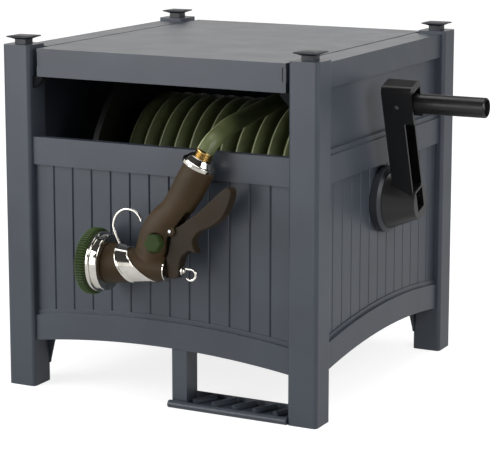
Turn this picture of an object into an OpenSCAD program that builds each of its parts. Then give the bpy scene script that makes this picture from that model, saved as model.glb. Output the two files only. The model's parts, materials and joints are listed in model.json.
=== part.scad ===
// Garden hose reel in a slatted cabinet: four hollow corner posts carry tongued panels and a
// hinged lid, a hand crank turns the drum inside, and the hose leaves through the front window
// to a trigger nozzle that hangs in front of the boards.
// The origin is on the ground midway between the posts. +X is the crank's side, -Y the front.

/* [Cabinet] */
// Width over the corner posts
cab_w = 448; // [440:1:500]
// Depth over the corner posts
cab_d = 446; // [436:1:500]
// Height of the corner posts
post_h = 450; // [446:1:500]
// Side of a square corner post
post_w = 40; // [38:1:44]
// Wall of a hollow corner post
post_wall = 6; // [5.5:0.5:8]
// Rounding of a post's upright edges
post_round = 5; // [2:0.5:6]

/* [Finials] */
// Side of a finial's square plate
finial_w = 33; // [28:1:38]
// Thickness of a finial's plate
finial_t = 5.5; // [5:0.5:8]
// Side of the notched neck under a finial's plate
neck_w = 17; // [14:1:22]
// Height of the neck
neck_h = 6; // [4.6:0.2:12]
// Radius of the peg that holds a finial in its post
peg_r = 6; // [4:0.5:7]

/* [Panels] */
// Set-back of the rails behind the posts' outer faces
rail_set = 6; // [4:0.5:8]
// Thickness of the rails
rail_t = 12; // [11:0.5:16]
// Set-back of the boards behind the rails
board_set = 5; // [4:0.5:6]
// Thickness of the boarded sheet
board_t = 5; // [4:0.5:6]
// Width of one board, before the boards are shared out between two posts
board_pitch = 28; // [20:1:45]
// Width of the V groove between two boards
groove_w = 3; // [2:0.25:5]
// Length of the tongues that the panels push into the posts
tongue_l = 4; // [3:0.5:4.5]
// Height of the arched rail's underside at the posts
arch_low = 62; // [50:1:70]
// Rise of the arch in the middle
arch_rise = 13.5; // [8:0.5:18]
// Height of the arched rail
arch_band = 34; // [26:1:40]
// Height of the lip above the arched rail
arch_lip = 6; // [4:0.5:14]
// Underside of the middle rails
mid_low = 296; // [280:1:306]
// Top of the front middle rail, the sill of the hose window
sill_z = 332; // [322:1:340]
// Height of the side panels' top rails
top_rail_h = 31.5; // [28:0.5:36]
// Width of the side panels' top rails
top_rail_w = 38; // [34:1:42]

/* [Lid] */
// Gap between the lid and the side rails
lid_gap = 3; // [2:0.5:5]
// Thickness of the lid's top
lid_t = 5; // [4:0.5:7]
// Height of the lid's front apron, top included
apron_h = 36; // [32:1:40]
// Height of the lid's side skirts, top included
skirt_h = 25; // [22:1:27]
// Thickness of the apron and skirts
skirt_t = 5; // [4:0.5:7]
// Radius of the hinge pins
hinge_r = 4; // [3:0.25:5]

/* [Foot step] */
// Length of the tread, from its free end to the post
step_l = 167; // [140:1:180]
// Depth of the tread
step_d = 55; // [45:1:65]
// Width of the step's leg
step_leg = 21; // [16:1:28]
// Number of anti-slip ribs on the tread
step_ribs = 5; // [3:1:7]

/* [Reel] */
// Distance of the axle below the posts' tops
axis_drop = 201; // [190:1:215]
// Clearance of the flanges below the lid's skirts
flange_clear = 4; // [3:0.5:10]
// Thickness of a flange
flange_t = 4; // [3:0.5:6]
// Outer radius of the drum barrel
barrel_r = 54.5; // [48:0.5:60]
// Wall of the drum barrel
barrel_wall = 4; // [3:0.5:6]
// Depth of the inner layers of hose on the barrel
inner_depth = 42; // [36:0.5:44]
// Space from the left posts' outer faces to the left flange
left_bay = 92; // [88:1:110]
// Space from the right posts' outer faces to the right flange
right_bay = 50; // [48:1:70]

/* [Hose] */
// Outside diameter of the hose
hose_d = 22; // [19:0.5:23]
// Gap between two turns
turn_gap = 0.7; // [0.5:0.1:3]

/* [Axle and inlet] */
// Radius of the crank shaft and of the water tube
axle_r = 12; // [11:0.5:13]
// Wall of the bearing bush
bush_wall = 4; // [3:0.5:5]
// Radius of the bearing housing's boss
boss_r = 43.5; // [41:0.5:48]
// Height of the boss above the boards
boss_h = 14; // [12:0.5:18]
// Radius of the inlet spigot's free end
inlet_r = 13.3; // [12.5:0.1:14]
// Length of the inlet spigot's free end
inlet_l = 15; // [12:0.5:20]

/* [Crank] */
// Distance from the axle to the grip's pivot
crank_throw = 141; // [130:1:150]
// Lean of the crank towards the front, in degrees
crank_lean = 18.2; // [0:0.1:40]
// Width of the crank arm
arm_w = 34; // [33:0.5:40]
// Thickness of the crank arm along the axle
arm_t = 27; // [26:0.5:32]
// Wall of the arm's channel
arm_wall = 3; // [2.5:0.25:3.25]
// Radius of the grip
grip_r = 12.75; // [11.5:0.25:12.75]
// Length of the grip's sleeve
grip_l = 98.7; // [85:0.5:100]

/* [Nozzle] */
// Clear space between the posts' front and the nozzle's barrel axis
noz_stand = 32.8; // [32:0.2:40]
// Height of the nozzle's barrel axis
noz_z = 188; // [170:1:200]
// Lean of the hanging nozzle towards the cabinet, in degrees
noz_lean = 6.5; // [4:0.5:8]
// Radius of the nozzle's rubber bumper
bumper_r = 42; // [40:0.5:42.5]
// Half thickness of the nozzle's grip
noz_half = 16; // [14:0.5:18]
// Half thickness of the trigger lever
lever_half = 8; // [6.5:0.5:8.5]
// Radius of the trigger's pivot pin
pin_r = 2; // [1.5:0.25:2.5]

/* [Hidden] */
$fn = 64;
// Clearance of a turning fit, of a loose fit and of a seat
run_c = 0.05;
loose_c = 0.3;
seat_c = 0.3;
eps = 0.01;
// Lap of a straight wire into a bent one
lap = 0.3;

// Cabinet: half sizes, and the posts' inner faces
hx = cab_w / 2;
hy = cab_d / 2;
ix = hx - post_w;
iy = hy - post_w;
post_floor = 4;
post_cap = 5;
// Depth from the posts' faces to the boards' outer and inner planes
board_out = rail_set + board_set;
board_in = board_out + board_t;
groove_d = groove_w * 0.6;
// Tongues start above the arch and stop short of each panel's top
tongue_z = arch_low + arch_band;
tongue_stop = 8;
lip_back = 2.5;
arch_lip_back = 3.5;
sheet_z = arch_low + arch_rise + 8;
// Side panels: the ledge above the middle rail, and the smooth recessed field
side_mid_top = sill_z - 1;
ledge_top = side_mid_top + 6.7;
field_set = 7;
rail_top = post_h - 4;
top_rail_z = rail_top - top_rail_h;
rail_shell = 4;
// Back panel: its top rail stops below the lid's hinge
back_top = post_h - 40;
back_rail_h = 36;

// Lid
lid_top = post_h - 4;
lid_x = hx - rail_set - top_rail_w - lid_gap;
lid_front = -(hy - 8);
lid_back = hy - 6;
apron_in = 5;
apron_low = lid_top - apron_h;
skirt_low = lid_top - skirt_h;
hinge_y = hy - 17;
hinge_z = post_h - 20;
hinge_in = 6;
hinge_boss = 8.4;
collar_r = hinge_r + 2;
tab_in = 12;
tab_h = 6.3;
tab_l = 60;
tab_y = 100;

// Foot step, whose tread ends at the right front post
step_x1 = ix;
step_x0 = step_x1 - step_l;
step_leg_x = step_x0 + 2;
step_leg_set = rail_set + 1;
step_leg_d = 28;
tread_t = 5;
lip_h = 9;
hump_r = 5;
hump_top = lip_h + 2.5;
hump_l = 34;
strap_t = 6;
strap_top = arch_low + arch_rise + arch_band;
step_screw_r = 2;
step_screw_z = [strap_top - 26, strap_top - 10];

// Reel
axis_z = post_h - axis_drop;
flange_r = skirt_low - axis_z - flange_clear;
left_out = -(hx - left_bay);
right_out = hx - right_bay;
left_in = left_out + flange_t;
right_in = right_out - flange_t;
rim_w = 4;
rim_over = 2;
rib_t = 3;
hub_r = 26;
web_r = 30;
web_t = 8;
spigot_l = 6;
screw_ring = (web_r + barrel_r - barrel_wall) / 2;
// Left panel's inner plane, the swivel's end and the water tube
panel_x = hx - board_in;
swivel_r = 20;
swivel_end = left_out - 20;
swivel_flange_r = 34;
swivel_flange_t = 5;
inlet_neck_r = inlet_r + 0.5;
nut_t = 8;
water_bore = 8;
tube_x0 = -panel_x + 8.3;
elbow_x = left_in + spigot_l + axle_r + seat_c;
elbow_l = 32;
elbow_r = axle_r + 3.5;
seal_r = 1.2;
// Right bearing
boss_x = hx - board_out;
boss_face = boss_x + boss_h;
sleeve_r = axle_r + bush_wall + 13.7;
sleeve_x = panel_x - 12;
bush_collar_t = 3;
bush_x0 = sleeve_x - bush_collar_t;
hub_end = bush_x0 - seat_c;
shaft_x0 = right_in - 20;
house_screw_ring = (boss_r + sleeve_r) / 2;

// Hose winding: an outer layer over the core, wound from the left flange to the right one
core_r = barrel_r + inner_depth;
wind_r = core_r + hose_d / 2 + 1.5;
pitch = hose_d + turn_gap;
wind_x0 = left_in + hose_d / 2 + 1;
turns = floor((right_in - 1 - hose_d / 2 - wind_x0) / pitch);
wind_a = -60;
rings_per_turn = 24;
wind_sides = 6;

// Free hose: its route after the winding's end, over the drum and out of the window
free_sides = 8;
free_step = 2;
free_route = [
    [157, 105, 188], [155, 127, 228], [149, 131, 272], [139, 116, 316], [127, 86, 352],
    [115, 46, 375], [105, 0, 384], [98, -50, 381], [92, -100, 373], [87, -145, 366],
    [84, -180, 361], [82, -205, 356], [81, -222, 349]
];

// Crank: the arm's frame has +Z along the arm and +X along the axle
hub_x0 = boss_face + 0.5;
arm_x0 = hub_x0 + 9.5;
arm_x1 = arm_x0 + arm_t;
hub_r1 = 38;
hub_r2 = 22;
hub_x1 = arm_x1 + 2;
square_w = 16;
square_x1 = arm_x0 + 11;
web_x = square_x1 + loose_c;
pocket_x = web_x + 4;
pocket_w = 20;
pocket_low = -10;
channel_low = 20;
channel_floor = arm_x0 + arm_wall;
channel_half = arm_w / 2 - arm_wall;
block_x1 = arm_x1 + 13;
block_w = arm_w;
block_low = crank_throw - 26;
block_top = crank_throw + 27;
block_round = 8;
slot_top = crank_throw + 17;
pivot_x = channel_floor + grip_r + 3.25;
pivot_r = 3;
eye_r = 12;
tongue_half = 9;
collar_x = pivot_x + eye_r;
grip_x0 = collar_x + 3 + seat_c;
grip_x1 = grip_x0 + grip_l;
spindle_r = 5;
cup_l = 8;
spindle_x1 = grip_x1 - cup_l - seat_c;
screw_r = 3;

// Nozzle: its frame has +X along the barrel to the rear and +Z up the hanging plane
noz_y = -(hy + noz_stand);
coup_p = 73.8;
coup_q = 135;
coup_tilt = 26;
nut_r = 21.5;
nut_h = 13;
brass_r = 12.5;
brass_h = 10;
body_x0 = -46;
body_x1 = 36;
chamber_r = 8;
chamber_x1 = 29;
spout_r = 12;
spout_x0 = -57;
stem_r = 2.5;
// Room round the stem in the lever, which tilts as it is pulled
stem_play = 2.6;
pull_p = 42.7;
pull_q = 48;
lever_hub = 7;
washer_x = 57;
pin_l = 2 * noz_half - 7;
cap_p = 22;
cap_q = 32;
cap_r = 12;
cap_t = 10;
cap_in = 4;
// Grip sections from the coupling down to the barrel: centre p and q, half width, slope
grip_sections = [
    [73.8, 128.2, 20.6, 26], [68.5, 118, 21.4, 27], [61, 103.5, 21.6, 28], [52, 87.5, 20.6, 30],
    [42, 72, 20, 36], [30.5, 59.5, 21.6, 34], [22, 47, 22.6, 25], [17, 34, 22.8, 14],
    [13.5, 20, 22, 6], [12, 6, 19, 0], [12, -4, 14, 0]
];
// Lever outline, from its tip down the rear side to the foot and back up the front side
lever_outline = [
    [117, 108], [122, 103], [120, 89], [111.5, 71], [98, 59], [81, 50.5], [73, 40], [75, 30],
    [78, 24], [69, 26], [63, 22], [58, 16], [56, 5], [55, -7], [44, -10], [39, 1], [38, 14],
    [39.5, 19], [41, 31], [43.6, 43], [44.7, 51], [53, 55], [64, 63], [76, 72], [90, 85],
    [102, 97], [113, 106]
];
// Room that the lever needs inside the grip
lever_well = [
    [body_x1 + 0.02, -24], [body_x1 + 0.02, 57], [50, 66], [64, 74], [70, 60], [70, -24]];
hook_c = [-23.5, 48.5];
hook_r = 20.5;
hook_wire = 1.6;

// Rounded rectangle centred on the origin
module rrect(w, d, r) {
    square([w - 2 * r, d], center = true);
    square([w, d - 2 * r], center = true);
    for (sx = [-1, 1], sy = [-1, 1])
        translate([sx * (w / 2 - r), sy * (d / 2 - r)]) circle(r);
}

// Cylinder along +X that starts at x
module rod(x, r, l) {
    translate([x, 0, 0]) rotate([0, 90, 0]) cylinder(h = l, r = r);
}

// Box between two corners
module block(a, b) {
    translate(a) cube(b - a);
}

// Tube swept along a list of points: each ring stands square to the path's local direction
function unit(v) = v / norm(v);
function mix(a, b, t) = a * (1 - t) + b * t;
function heading(pts, i) =
    let (n = len(pts) - 1) unit(pts[min(i + 1, n)] - pts[max(i - 1, 0)]);
function carry(side, dir) = unit(side - dir * (side * dir));
function sides_of(pts, first, i = 0) =
    let (s = carry(first, heading(pts, i)))
    i == len(pts) - 1 ? [s] : concat([s], sides_of(pts, s, i + 1));
module tube(pts, r, n, first) {
    side = sides_of(pts, first);
    last = len(pts) - 1;
    rings = [
        for (i = [0:last])
            let (d = heading(pts, i), u = side[i], v = cross(d, u))
            for (k = [0:n - 1]) pts[i] + r * (cos(k * 360 / n) * u + sin(k * 360 / n) * v)
    ];
    walls = [
        for (i = [0:last - 1], k = [0:n - 1])
            let (a = i * n + k, b = i * n + (k + 1) % n)
            each [[a, b, b + n], [a, b + n, a + n]]
    ];
    caps = [
        for (k = [1:n - 2])
            each [[0, k + 1, k], [last * n, last * n + k, last * n + k + 1]]
    ];
    polyhedron(points = rings, faces = [for (f = concat(walls, caps)) [f[2], f[1], f[0]]]);
}

// Point on a smooth curve through the route's points, t from 0 to the number of spans
function span_point(a, b, c, d, t) =
    0.5 * (2 * b + (c - a) * t + (2 * a - 5 * b + 4 * c - d) * t * t
        + (3 * b - a - 3 * c + d) * t * t * t);
function smooth(pts, parts) =
    let (n = len(pts) - 1)
    concat([for (i = [0:n - 1], k = [0:parts - 1])
        span_point(pts[max(i - 1, 0)], pts[i], pts[i + 1], pts[min(i + 2, n)], k / parts)],
        [pts[n]]);

// Corner posts
module post(back, right) {
    mirror([right ? 0 : 1, 0, 0]) mirror([0, back ? 0 : 1, 0]) color("#5f646b") difference() {
        translate([hx - post_w / 2, hy - post_w / 2, 0]) linear_extrude(post_h)
            rrect(post_w, post_w, post_round);
        block([ix + post_wall, iy + post_wall, post_floor],
            [hx - post_wall, hy - post_wall, post_h - post_cap]);
        translate([hx - post_w / 2, hy - post_w / 2, post_h - post_cap - 1])
            cylinder(h = post_cap + 2, r = peg_r);
        block([ix - 1, hy - board_in - loose_c, tongue_z - loose_c],
            [ix + tongue_l + loose_c, hy - board_out + loose_c,
                (back ? back_top : sill_z) - tongue_stop + loose_c]);
        block([hx - board_in - loose_c, iy - 1, tongue_z - loose_c],
            [hx - board_out + loose_c, iy + tongue_l + loose_c,
                rail_top - tongue_stop + loose_c]);
        if (back) translate([0, hinge_y, hinge_z]) rod(ix - 1, hinge_r, post_wall + 2);
    }
}
module post_front_left() { post(false, false); }
module post_front_right() { post(false, true); }
module post_back_left() { post(true, false); }
module post_back_right() { post(true, true); }

// Finials: a peg in the post, a notched neck and a plate with a bevelled top and underside
module finial(back, right) {
    notch = neck_w * 0.3;
    at_x = (right ? 1 : -1) * (hx - post_w / 2);
    at_y = (back ? 1 : -1) * (hy - post_w / 2);
    translate([at_x, at_y, post_h]) color("#4b5057") union() {
        translate([0, 0, -post_cap]) cylinder(h = post_cap + 1, r = peg_r);
        difference() {
            linear_extrude(neck_h) square(neck_w, center = true);
            for (a = [0:90:270]) rotate(a) translate([neck_w / 2, 0, neck_h / 2])
                cube([notch, notch, neck_h + 2], center = true);
        }
        translate([0, 0, neck_h]) hull() {
            linear_extrude(eps) square(finial_w * 0.7, center = true);
            translate([0, 0, finial_t * 0.35]) linear_extrude(finial_t * 0.35)
                square(finial_w, center = true);
            translate([0, 0, finial_t - eps]) linear_extrude(eps)
                square(finial_w * 0.78, center = true);
        }
    }
}
module finial_front_left() { finial(false, false); }
module finial_front_right() { finial(false, true); }
module finial_back_left() { finial(true, false); }
module finial_back_right() { finial(true, true); }

// Panels are drawn with x along the wall, y inwards from the rails' outer face and z up
function arch_r(l) = (l * l / 4 + arch_rise * arch_rise) / (2 * arch_rise);
module arch_strip(l, low, band, y0, t) {
    r = arch_r(l);
    translate([0, y0 + t, 0]) rotate([90, 0, 0]) linear_extrude(t) difference() {
        intersection() {
            translate([-l / 2, low - arch_rise]) square([l, band + 3 * arch_rise]);
            translate([0, low + arch_rise + band - r]) circle(r, $fn = 720);
        }
        translate([0, low + arch_rise - r]) circle(r, $fn = 720);
    }
}
module boards(l) {
    n = round(l / board_pitch);
    difference() {
        block([-l / 2, board_set, sheet_z], [l / 2, board_set + board_t, mid_low + 2]);
        for (i = [1:n - 1]) translate([-l / 2 + i * l / n, board_set, sheet_z - 1])
            linear_extrude(mid_low + 4 - sheet_z)
                polygon([[-groove_w / 2, -1], [groove_w / 2, -1], [groove_w / 2, 0],
                    [0, groove_d], [-groove_w / 2, 0]]);
    }
}
module tongues(l, top) {
    for (s = [-1, 1]) translate([s * (l / 2 + tongue_l / 2 - 1.5), board_set + board_t / 2,
            (tongue_z + top - tongue_stop) / 2])
        cube([tongue_l + 3, board_t, top - tongue_stop - tongue_z], center = true);
}
module lower_panel(l, top) {
    arch_strip(l, arch_low, arch_band, 0, rail_t);
    arch_strip(l, arch_low + arch_band - 1, arch_lip + 1, arch_lip_back, rail_t - arch_lip_back);
    boards(l);
    tongues(l, top);
}
module rail(l, low, high) {
    block([-l / 2, 0, low], [l / 2, rail_t, high]);
}

module front_panel() {
    l = 2 * ix;
    translate([0, -(hy - rail_set), 0]) color("#5f646b") difference() {
        union() {
            lower_panel(l, sill_z);
            rail(l, mid_low, sill_z);
        }
        for (z = step_screw_z) translate([step_leg_x + step_leg / 2, rail_t, z])
            rotate([90, 0, 0]) cylinder(h = 2 * rail_t - 6, r = step_screw_r, center = true);
    }
}

module back_panel() {
    l = 2 * ix;
    rotate(180) translate([0, -(hy - rail_set), 0]) color("#5f646b") union() {
        lower_panel(l, back_top);
        rail(l, mid_low, side_mid_top);
        block([-l / 2, field_set, side_mid_top - 1], [l / 2, rail_t, back_top - back_rail_h + 1]);
        rail(l, back_top - back_rail_h, back_top);
    }
}

// Side panel: boards below, a smooth recessed field above, and a channel-shaped top rail whose
// inner edge has two tabs that the lid's skirt comes down on. The middle rail and the field give
// way to the bearing and the inlet, where these come that high
module axle_room() {
    translate([0, 0, axis_z]) rotate([-90, 0, 0]) {
        translate([0, 0, -board_set]) cylinder(h = 2 * board_set, r = boss_r + seat_c);
        translate([0, 0, board_set + board_t]) cylinder(h = rail_t, r = boss_r + seat_c);
    }
}
module side_shape() {
    l = 2 * iy;
    lower_panel(l, rail_top);
    difference() {
        union() {
            rail(l, mid_low, side_mid_top);
            block([-l / 2, lip_back, side_mid_top - 1], [l / 2, rail_t, ledge_top]);
            block([-l / 2, field_set, ledge_top - 1], [l / 2, field_set + board_t, rail_top - 1]);
        }
        axle_room();
    }
    difference() {
        block([-l / 2, 0, top_rail_z], [l / 2, top_rail_w, rail_top]);
        block([-l / 2 - 1, rail_shell, top_rail_z - 1],
            [l / 2 + 1, field_set + eps, rail_top - rail_shell]);
        block([-l / 2 - 1, field_set + board_t - eps, top_rail_z - 1],
            [l / 2 + 1, top_rail_w - rail_shell, rail_top - rail_shell]);
    }
    tab_top = skirt_low - seat_c;
    for (s = [-1, 1]) translate([s * (tab_y + tab_l / 2), top_rail_w - rail_shell, tab_top - tab_h])
        translate([-tab_l / 2, 0, 0]) cube([tab_l, tab_in + rail_shell, tab_h]);
}
module left_panel() {
    color("#5f646b") difference() {
        translate([-(hx - rail_set), 0, 0]) rotate(-90) side_shape();
        translate([0, 0, axis_z]) rod(-hx, inlet_neck_r + loose_c, 40);
    }
}
module right_panel() {
    color("#5f646b") difference() {
        translate([hx - rail_set, 0, 0]) rotate(90) side_shape();
        translate([0, 0, axis_z]) rod(hx - 40, sleeve_r + loose_c, 40);
        for (a = [45:90:315]) translate([0, 0, axis_z]) rotate([a, 0, 0])
            translate([0, 0, house_screw_ring]) rod(hx - 40, 2 + loose_c, 40);
    }
}

// Lid: a flat top with a front apron, skirts on three sides, hinge bosses and two stiff ribs
module lid() {
    color("#5f646b") difference() {
        union() {
            block([-lid_x, lid_front, lid_top - lid_t], [lid_x, lid_back, lid_top]);
            block([-lid_x + apron_in, lid_front, apron_low],
                [lid_x - apron_in, lid_front + skirt_t, lid_top - 1]);
            for (s = [-1, 1]) {
                translate([s * (lid_x - skirt_t / 2), (lid_front + 1 + lid_back) / 2,
                        (skirt_low + lid_top - 1) / 2])
                    cube([skirt_t, lid_back - lid_front - 1, lid_top - 1 - skirt_low],
                        center = true);
                translate([s * (lid_x - skirt_t - hinge_in / 2), hinge_y, hinge_z])
                    rotate([0, 90, 0])
                        cylinder(h = hinge_in + 1, r = hinge_boss, center = true);
            }
            block([-lid_x + 1, lid_back - skirt_t, hinge_z - 12], [lid_x - 1, lid_back, lid_top - 1]);
            for (y = [-1, 1]) block([-lid_x + 1, y * hy / 3 - 2, lid_top - lid_t - 8],
                [lid_x - 1, y * hy / 3 + 2, lid_top - 1]);
        }
        translate([0, hinge_y, hinge_z]) rod(-hx, hinge_r + run_c, cab_w);
    }
}
module hinge_pins() {
    color("#2b2d30") for (s = [0, 1]) mirror([s, 0, 0]) translate([0, hinge_y, hinge_z]) {
        rod(lid_x - skirt_t - hinge_in, hinge_r, ix + post_wall - lid_x + skirt_t + hinge_in);
        rod(lid_x + seat_c, collar_r, ix - lid_x - seat_c);
    }
}
// Corner gussets on the front posts that the apron comes down on
module lid_rests() {
    leg = 15;
    top = apron_low - seat_c;
    color("#4b5057") for (s = [0, 1]) mirror([s, 0, 0])
        translate([0, lid_front + 12, 0]) rotate([90, 0, 0]) linear_extrude(12)
            polygon([[ix, top], [ix, top - leg], [ix - 3, top - leg], [ix - leg, top - 3],
                [ix - leg, top]]);
}

// Foot step: a ribbed tread on the ground, a leg up to the arch and a strap behind the rail
module foot_step() {
    front = -hy;
    arch_at = arch_low + arch_rise - arch_r(2 * ix)
        + sqrt(pow(arch_r(2 * ix), 2) - pow(step_leg_x + step_leg, 2));
    back = -(hy - rail_set) + rail_t;
    span = step_x1 - step_leg_x - step_leg;
    color("#4b5057") union() {
        block([step_x0, front, 0], [step_x1, front + step_d, tread_t]);
        block([step_x0, front, 0], [step_x1, front + 4, lip_h]);
        block([step_x0, front + step_d - 4, 0], [step_x1, front + step_d, lip_h]);
        block([step_leg_x, front + step_leg_set, tread_t - 1],
            [step_leg_x + step_leg, front + step_leg_set + step_leg_d, arch_at - seat_c / 2]);
        difference() {
            block([step_leg_x, back, arch_low - 2], [step_leg_x + step_leg, back + strap_t, strap_top]);
            for (z = step_screw_z) translate([step_leg_x + step_leg / 2, back, z])
                rotate([90, 0, 0]) cylinder(h = 3 * strap_t, r = step_screw_r, center = true);
        }
        for (i = [1:step_ribs]) translate([step_leg_x + step_leg + (i - 0.5) * span / step_ribs,
                front + step_d / 2, hump_top - hump_r])
            rotate([90, 0, -28]) cylinder(h = hump_l, r = hump_r, center = true);
    }
}
module step_screws() {
    y = -(hy - rail_set) + rail_t + strap_t;
    color("#a8abb0") for (z = step_screw_z)
        translate([step_leg_x + step_leg / 2, y, z]) rotate([90, 0, 0]) {
            translate([0, 0, -2.5]) cylinder(h = 2.5, r = 4);
            translate([0, 0, -1]) cylinder(h = strap_t + rail_t - 3, r = step_screw_r);
        }
}

// Bearing on the right: a round boss outside with a sleeve through the panel, and a bush in it
module bearing_housing() {
    bore = axle_r + run_c + bush_wall;
    color("#33363a") translate([0, 0, axis_z]) difference() {
        rotate([0, 90, 0]) rotate_extrude() polygon([
            [bore, sleeve_x], [sleeve_r, sleeve_x], [sleeve_r, boss_x], [boss_r, boss_x],
            [boss_r, boss_face - 4], [boss_r - 4, boss_face], [bore, boss_face]]);
        for (a = [45:90:315]) rotate([a, 0, 0]) translate([0, 0, house_screw_ring])
            rod(boss_x - 1, 2, boss_h - 4);
    }
}
module bearing_bush() {
    color("#d8d5c8") translate([0, 0, axis_z]) difference() {
        union() {
            rod(sleeve_x, axle_r + run_c + bush_wall, boss_face - sleeve_x);
            rod(bush_x0, axle_r + bush_wall + 6, bush_collar_t);
        }
        rod(bush_x0 - 1, axle_r + run_c, boss_face - bush_x0 + 2);
    }
}
module housing_screws() {
    color("#a8abb0") for (a = [45:90:315]) translate([0, 0, axis_z]) rotate([a, 0, 0])
        translate([0, 0, house_screw_ring]) {
            rod(panel_x - 3, 4, 3);
            rod(panel_x - 1, 2, boss_x + boss_h - 6 - panel_x);
        }
}

// Water inlet on the left: a swivel clamped in the panel by its nut
module swivel_body() {
    color("#33363a") translate([0, 0, axis_z]) difference() {
        union() {
            rod(-panel_x, swivel_flange_r, swivel_flange_t);
            rod(-panel_x, swivel_r, swivel_end + panel_x);
            rod(-hx + 1, inlet_neck_r, hx - 1 - panel_x + 1);
            rod(-hx + 1 - inlet_l, inlet_r, inlet_l + 1);
        }
        rod(tube_x0 - seat_c, axle_r + run_c, swivel_end - tube_x0 + 1);
        rod(-hx - inlet_l, water_bore, hx + inlet_l + tube_x0);
    }
}
module swivel_nut() {
    color("#33363a") translate([0, 0, axis_z]) difference() {
        rod(-boss_x - nut_t, inlet_neck_r + 10, nut_t);
        for (a = [0:45:315]) rotate([a, 0, 0]) translate([0, 0, inlet_neck_r + 11.5])
            rod(-boss_x - nut_t - 1, 3, nut_t + 2);
        rod(-boss_x - nut_t - 1, inlet_neck_r, nut_t + 2);
    }
}
module swivel_seals() {
    color("#1b1b1b") for (x = [tube_x0 + 12, tube_x0 + 26]) translate([x, 0, axis_z])
        rotate([0, 90, 0]) rotate_extrude() translate([axle_r + run_c - 0.01 - seal_r, 0])
            circle(seal_r);
}
module water_tube() {
    color("#8c8f93") translate([0, 0, axis_z]) difference() {
        rod(tube_x0, axle_r, elbow_x - tube_x0);
        rod(tube_x0 - 1, water_bore, elbow_x - tube_x0 + 2);
        for (x = [tube_x0 + 12, tube_x0 + 26]) translate([x, 0, 0]) rotate([0, 90, 0])
            rotate_extrude() translate([axle_r + run_c - 0.01 - 2 * seal_r, -seal_r])
                square([3 * seal_r, 2 * seal_r]);
    }
}
// Elbow inside the barrel that feeds the inner end of the hose
module outlet_elbow() {
    out = sqrt(pow(barrel_r, 2) - pow(axle_r, 2)) - 0.2;
    mid = elbow_x + elbow_l - elbow_r - 4;
    color("#33363a") translate([0, 0, axis_z]) difference() {
        union() {
            rod(elbow_x - axle_r, elbow_r, mid + elbow_r - elbow_x + axle_r);
            translate([mid, 0, 0]) rotate([wind_a, 0, 0]) translate([0, 0, -out])
                cylinder(h = out, r = axle_r);
        }
        rod(elbow_x - axle_r - 1, axle_r, axle_r + 1);
        rod(elbow_x - 1, water_bore, mid - elbow_x + 1);
        translate([mid, 0, 0]) rotate([wind_a, 0, 0]) translate([0, 0, -out - 1])
            cylinder(h = out + 1, r = water_bore - 1);
    }
}

// Drum: barrel with end webs, and two flanges with rims, hubs and outside ribs
module drum_barrel() {
    mid = elbow_x + elbow_l - elbow_r - 4;
    color("#2b2d30") translate([0, 0, axis_z]) difference() {
        rod(left_in, barrel_r, right_in - left_in);
        rod(left_in + web_t, barrel_r - barrel_wall, right_in - left_in - 2 * web_t);
        rod(left_in - 1, web_r, right_in - left_in + 2);
        translate([mid, 0, 0]) rotate([wind_a, 0, 0]) translate([0, 0, -barrel_r - 1])
            cylinder(h = barrel_r, r = axle_r + 0.2);
        for (a = [22.5:90:292.5]) rotate([a, 0, 0]) translate([0, 0, screw_ring])
            rod(left_in - 1, 2, right_in - left_in + 2);
    }
}
// Flange drawn with its inner face at x = 0 and its hub towards -x
module flange(hub_l) {
    difference() {
        union() {
            rotate([0, 90, 0]) rotate_extrude() polygon([
                [axle_r, -flange_t - hub_l], [hub_r, -flange_t - hub_l], [hub_r, -flange_t],
                [flange_r - rim_w, -flange_t], [flange_r - rim_w, -flange_t - rim_over],
                [flange_r, -flange_t - rim_over], [flange_r, rim_over],
                [flange_r - rim_w, rim_over], [flange_r - rim_w, 0], [web_r, 0],
                [web_r, spigot_l], [axle_r, spigot_l]]);
            for (a = [10:45:325]) rotate([a, 0, 0])
                block([-flange_t - rim_over + 0.5, -rib_t / 2, hub_r - 2],
                    [-flange_t + 1, rib_t / 2, flange_r - 2]);
        }
        for (a = [22.5:90:292.5]) rotate([a, 0, 0]) translate([0, 0, screw_ring])
            rod(-flange_t - 1, 2, flange_t + 2);
    }
}
module flange_left() {
    color("#1e1f21") translate([left_in, 0, axis_z]) flange(left_out - swivel_end - seat_c);
}
module flange_right() {
    color("#1e1f21") difference() {
        translate([right_in, 0, axis_z]) mirror([1, 0, 0]) flange(hub_end - right_out);
        translate([hub_end - 9, 0, axis_z]) cylinder(h = 3 * hub_r, r = 3, center = true);
    }
}
module flange_screws() {
    color("#a8abb0") translate([0, 0, axis_z]) for (a = [22.5:90:292.5]) rotate([a, 0, 0])
        translate([0, 0, screw_ring]) {
            rod(left_out - 2.5, 3.5, 2.5);
            rod(left_out - 1, 2, flange_t + web_t);
            rod(right_out, 3.5, 2.5);
            rod(right_in - web_t + 1, 2, flange_t + web_t);
        }
}
module hub_pin() {
    color("#a8abb0") translate([hub_end - 9, 0, axis_z])
        cylinder(h = 2 * hub_r - 1, r = 3, center = true);
}

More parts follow.
